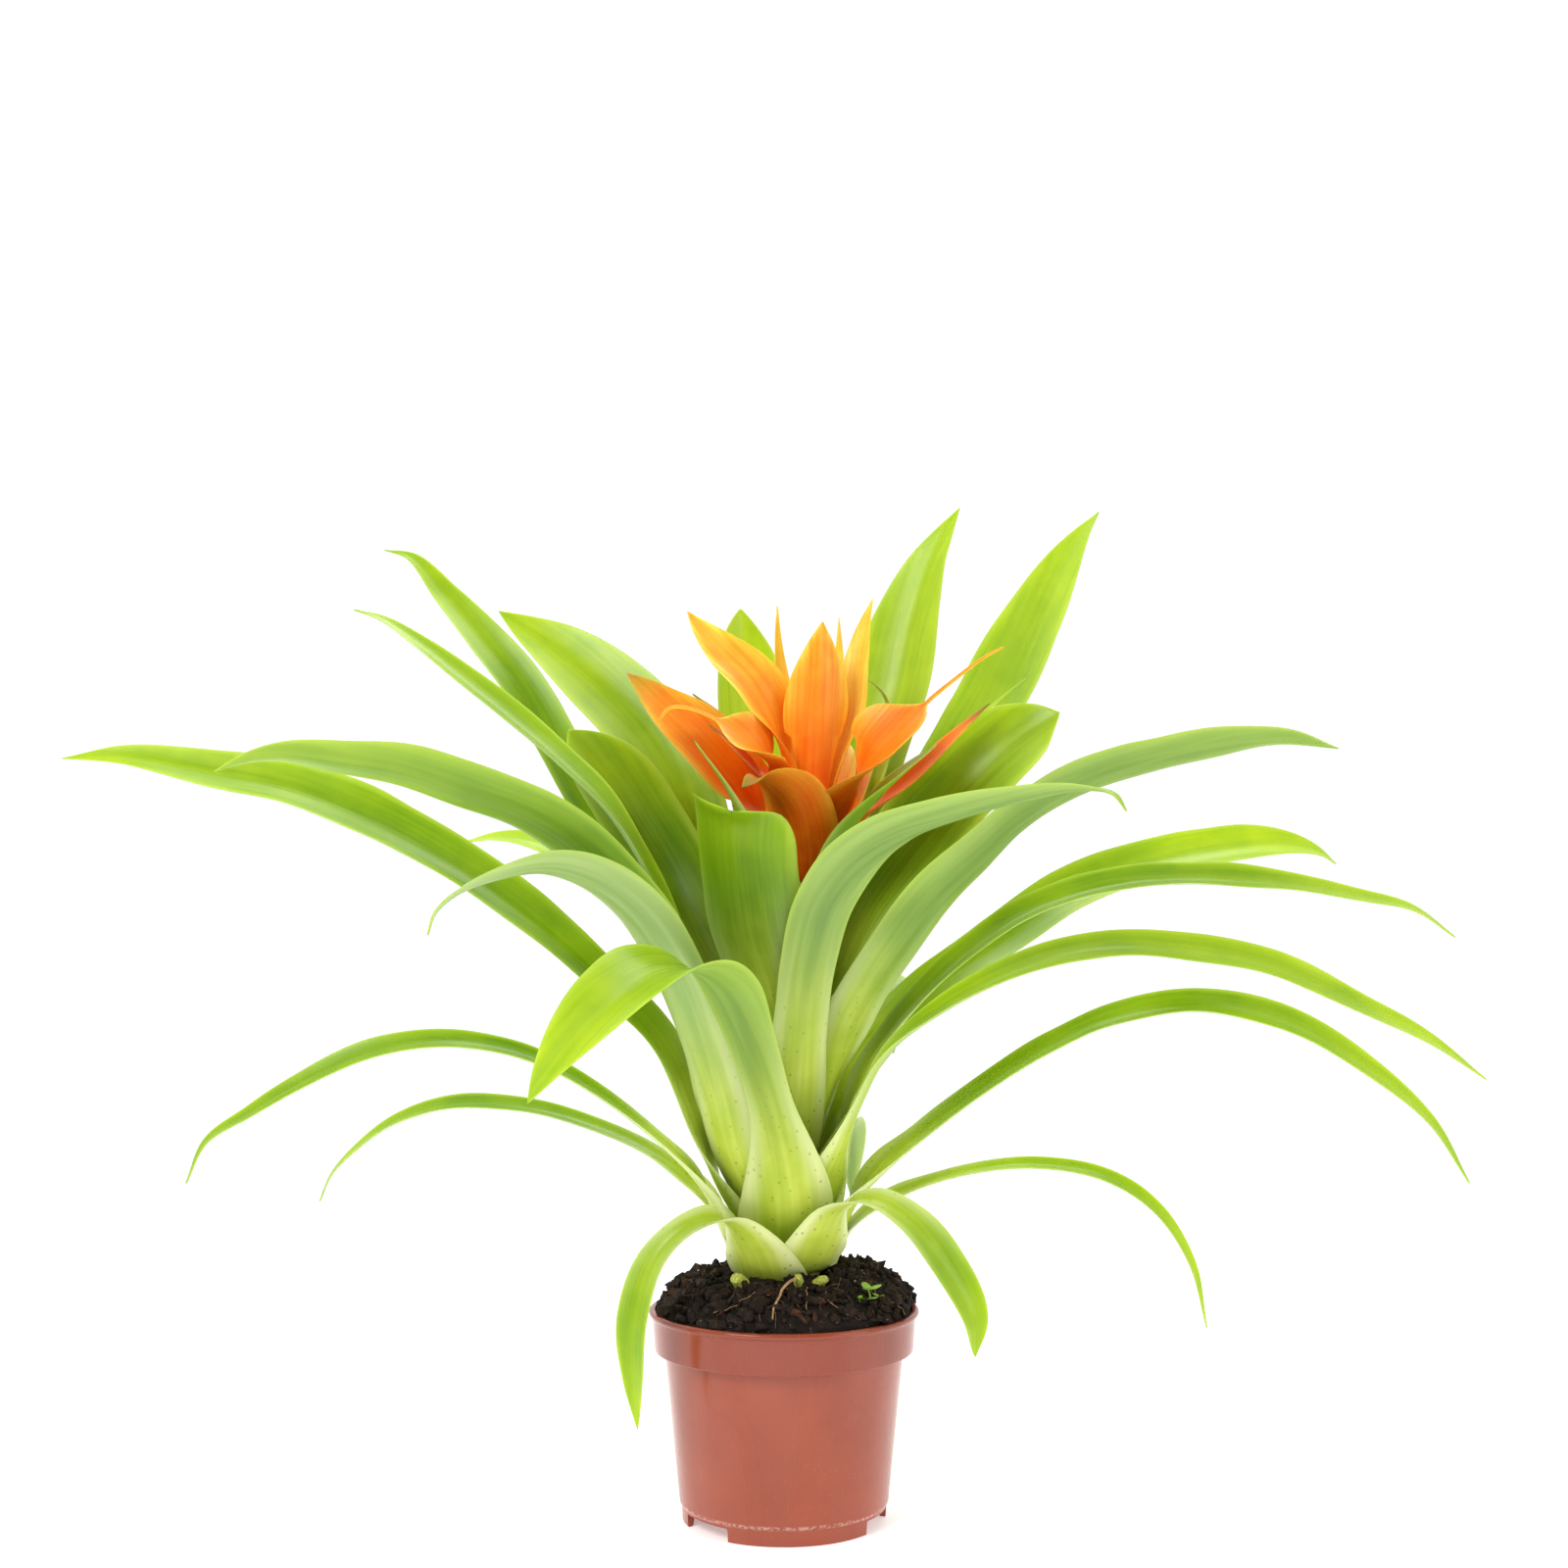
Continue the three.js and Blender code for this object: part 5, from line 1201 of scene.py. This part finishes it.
seat = np.array([36.0, -34.0, 98.0])
sprig = [tube_surface([seat, seat + (1, 0, 5), seat + (0, 0, 9.3)], (0.5, 0.42, 0.34), 8, 6)]
for bearing, size, tilt, rise in ((15, 3.0, 0.3, 8.6), (125, 2.5, 0.5, 8.8), (255, 2.9, 0.25, 8.9),
                                  (330, 2.2, 0.1, 5.2), (195, 2.4, 0.2, 4.6)):
    sprig.append(round_leaf(seat + (0.4, 0, rise), radians(bearing), size, tilt))
for x, y, size in ((4.5, 2.0, 1.5), (-4.0, -2.5, 1.3)):
    base = seat + (x, y, 1.0)
    sprig.append(tube_surface([base, base + (0.4, 0.2, 2.6), base + (0.2, 0, 4.6)], (0.34, 0.3, 0.26), 7,
                              4))
    for bearing in (20, 190):
        sprig.append(round_leaf(base + (0.2, 0, 4.6), radians(bearing + 30 * x), size, 0.3))
add_piece("self_sown_seedling", *joined(sprig), SPROUT, "leaf", ["seedling"])


# ---------------------------------------------------------------- stage

floor_material, _, floor_shader = new_material("pale_floor", Roughness=0.9, Specular_IOR_Level=0.1)
floor_shader.inputs["Base Color"].default_value = (0.93, 0.93, 0.93, 1)
floor_shader.inputs["Emission Color"].default_value = (1, 1, 1, 1)
floor_shader.inputs["Emission Strength"].default_value = 0.35
floor_mesh = bpy.data.meshes.new("floor")
edge = TURN * np.arange(96) / 96
floor_mesh.from_pydata(np.stack([1.1 * np.cos(edge), 1.1 * np.sin(edge), 0 * edge], -1).tolist(), [],
                       [list(range(96))])
floor_mesh.materials.append(floor_material)
floor = bpy.data.objects.new("floor", floor_mesh)
bpy.context.scene.collection.objects.link(floor)

world = bpy.data.worlds.new("studio")
world.use_nodes = True
world.node_tree.nodes["Background"].inputs["Color"].default_value = (1, 1, 1, 1)
seen = node(world.node_tree, "LightPath").outputs["Is Camera Ray"]
# Brighter behind and beside the plant than in front of it, as in a light tent.
heading = node(world.node_tree, "SeparateXYZ", a=node(world.node_tree, "TexCoord").outputs["Generated"])
tent = span(world.node_tree, heading.outputs[1], -0.75, 0.35, 0.30, 1.0)
lift = calc(world.node_tree, "MULTIPLY", seen, calc(world.node_tree, "SUBTRACT", 1.05, tent))
world.node_tree.links.new(calc(world.node_tree, "ADD", tent, lift),
                          world.node_tree.nodes["Background"].inputs["Strength"])
bpy.context.scene.world = world


def softbox(name, place, aim, size, power):
    """A square area light that faces aim."""
    light = bpy.data.lights.new(name, "AREA")
    light.size, light.energy = size, power
    lamp = bpy.data.objects.new(name, light)
    lamp.location = place
    lamp.rotation_euler = (Vector(aim) - Vector(place)).to_track_quat("-Z", "Y").to_euler()
    bpy.context.scene.collection.objects.link(lamp)


softbox("key", (-0.9, -1.1, 1.3), (0, 0, 0.2), 0.7, 19)
softbox("fill", (1.3, -0.8, 0.7), (0, 0, 0.2), 0.8, 7)
softbox("top", (0.1, 0.5, 1.5), (0, 0, 0.3), 0.9, 9)

lens = bpy.data.cameras.new("camera")
lens.sensor_width, lens.lens, lens.shift_y = 36, 45.92, 0.0825
lens.clip_start, lens.clip_end = 0.05, 60
camera = bpy.data.objects.new("camera", lens)
camera.location, camera.rotation_euler = (0, -0.89, 0.268), (radians(90), 0, 0)
bpy.context.scene.collection.objects.link(camera)
bpy.context.scene.camera = camera
bpy.context.scene.view_settings.view_transform = "Standard"
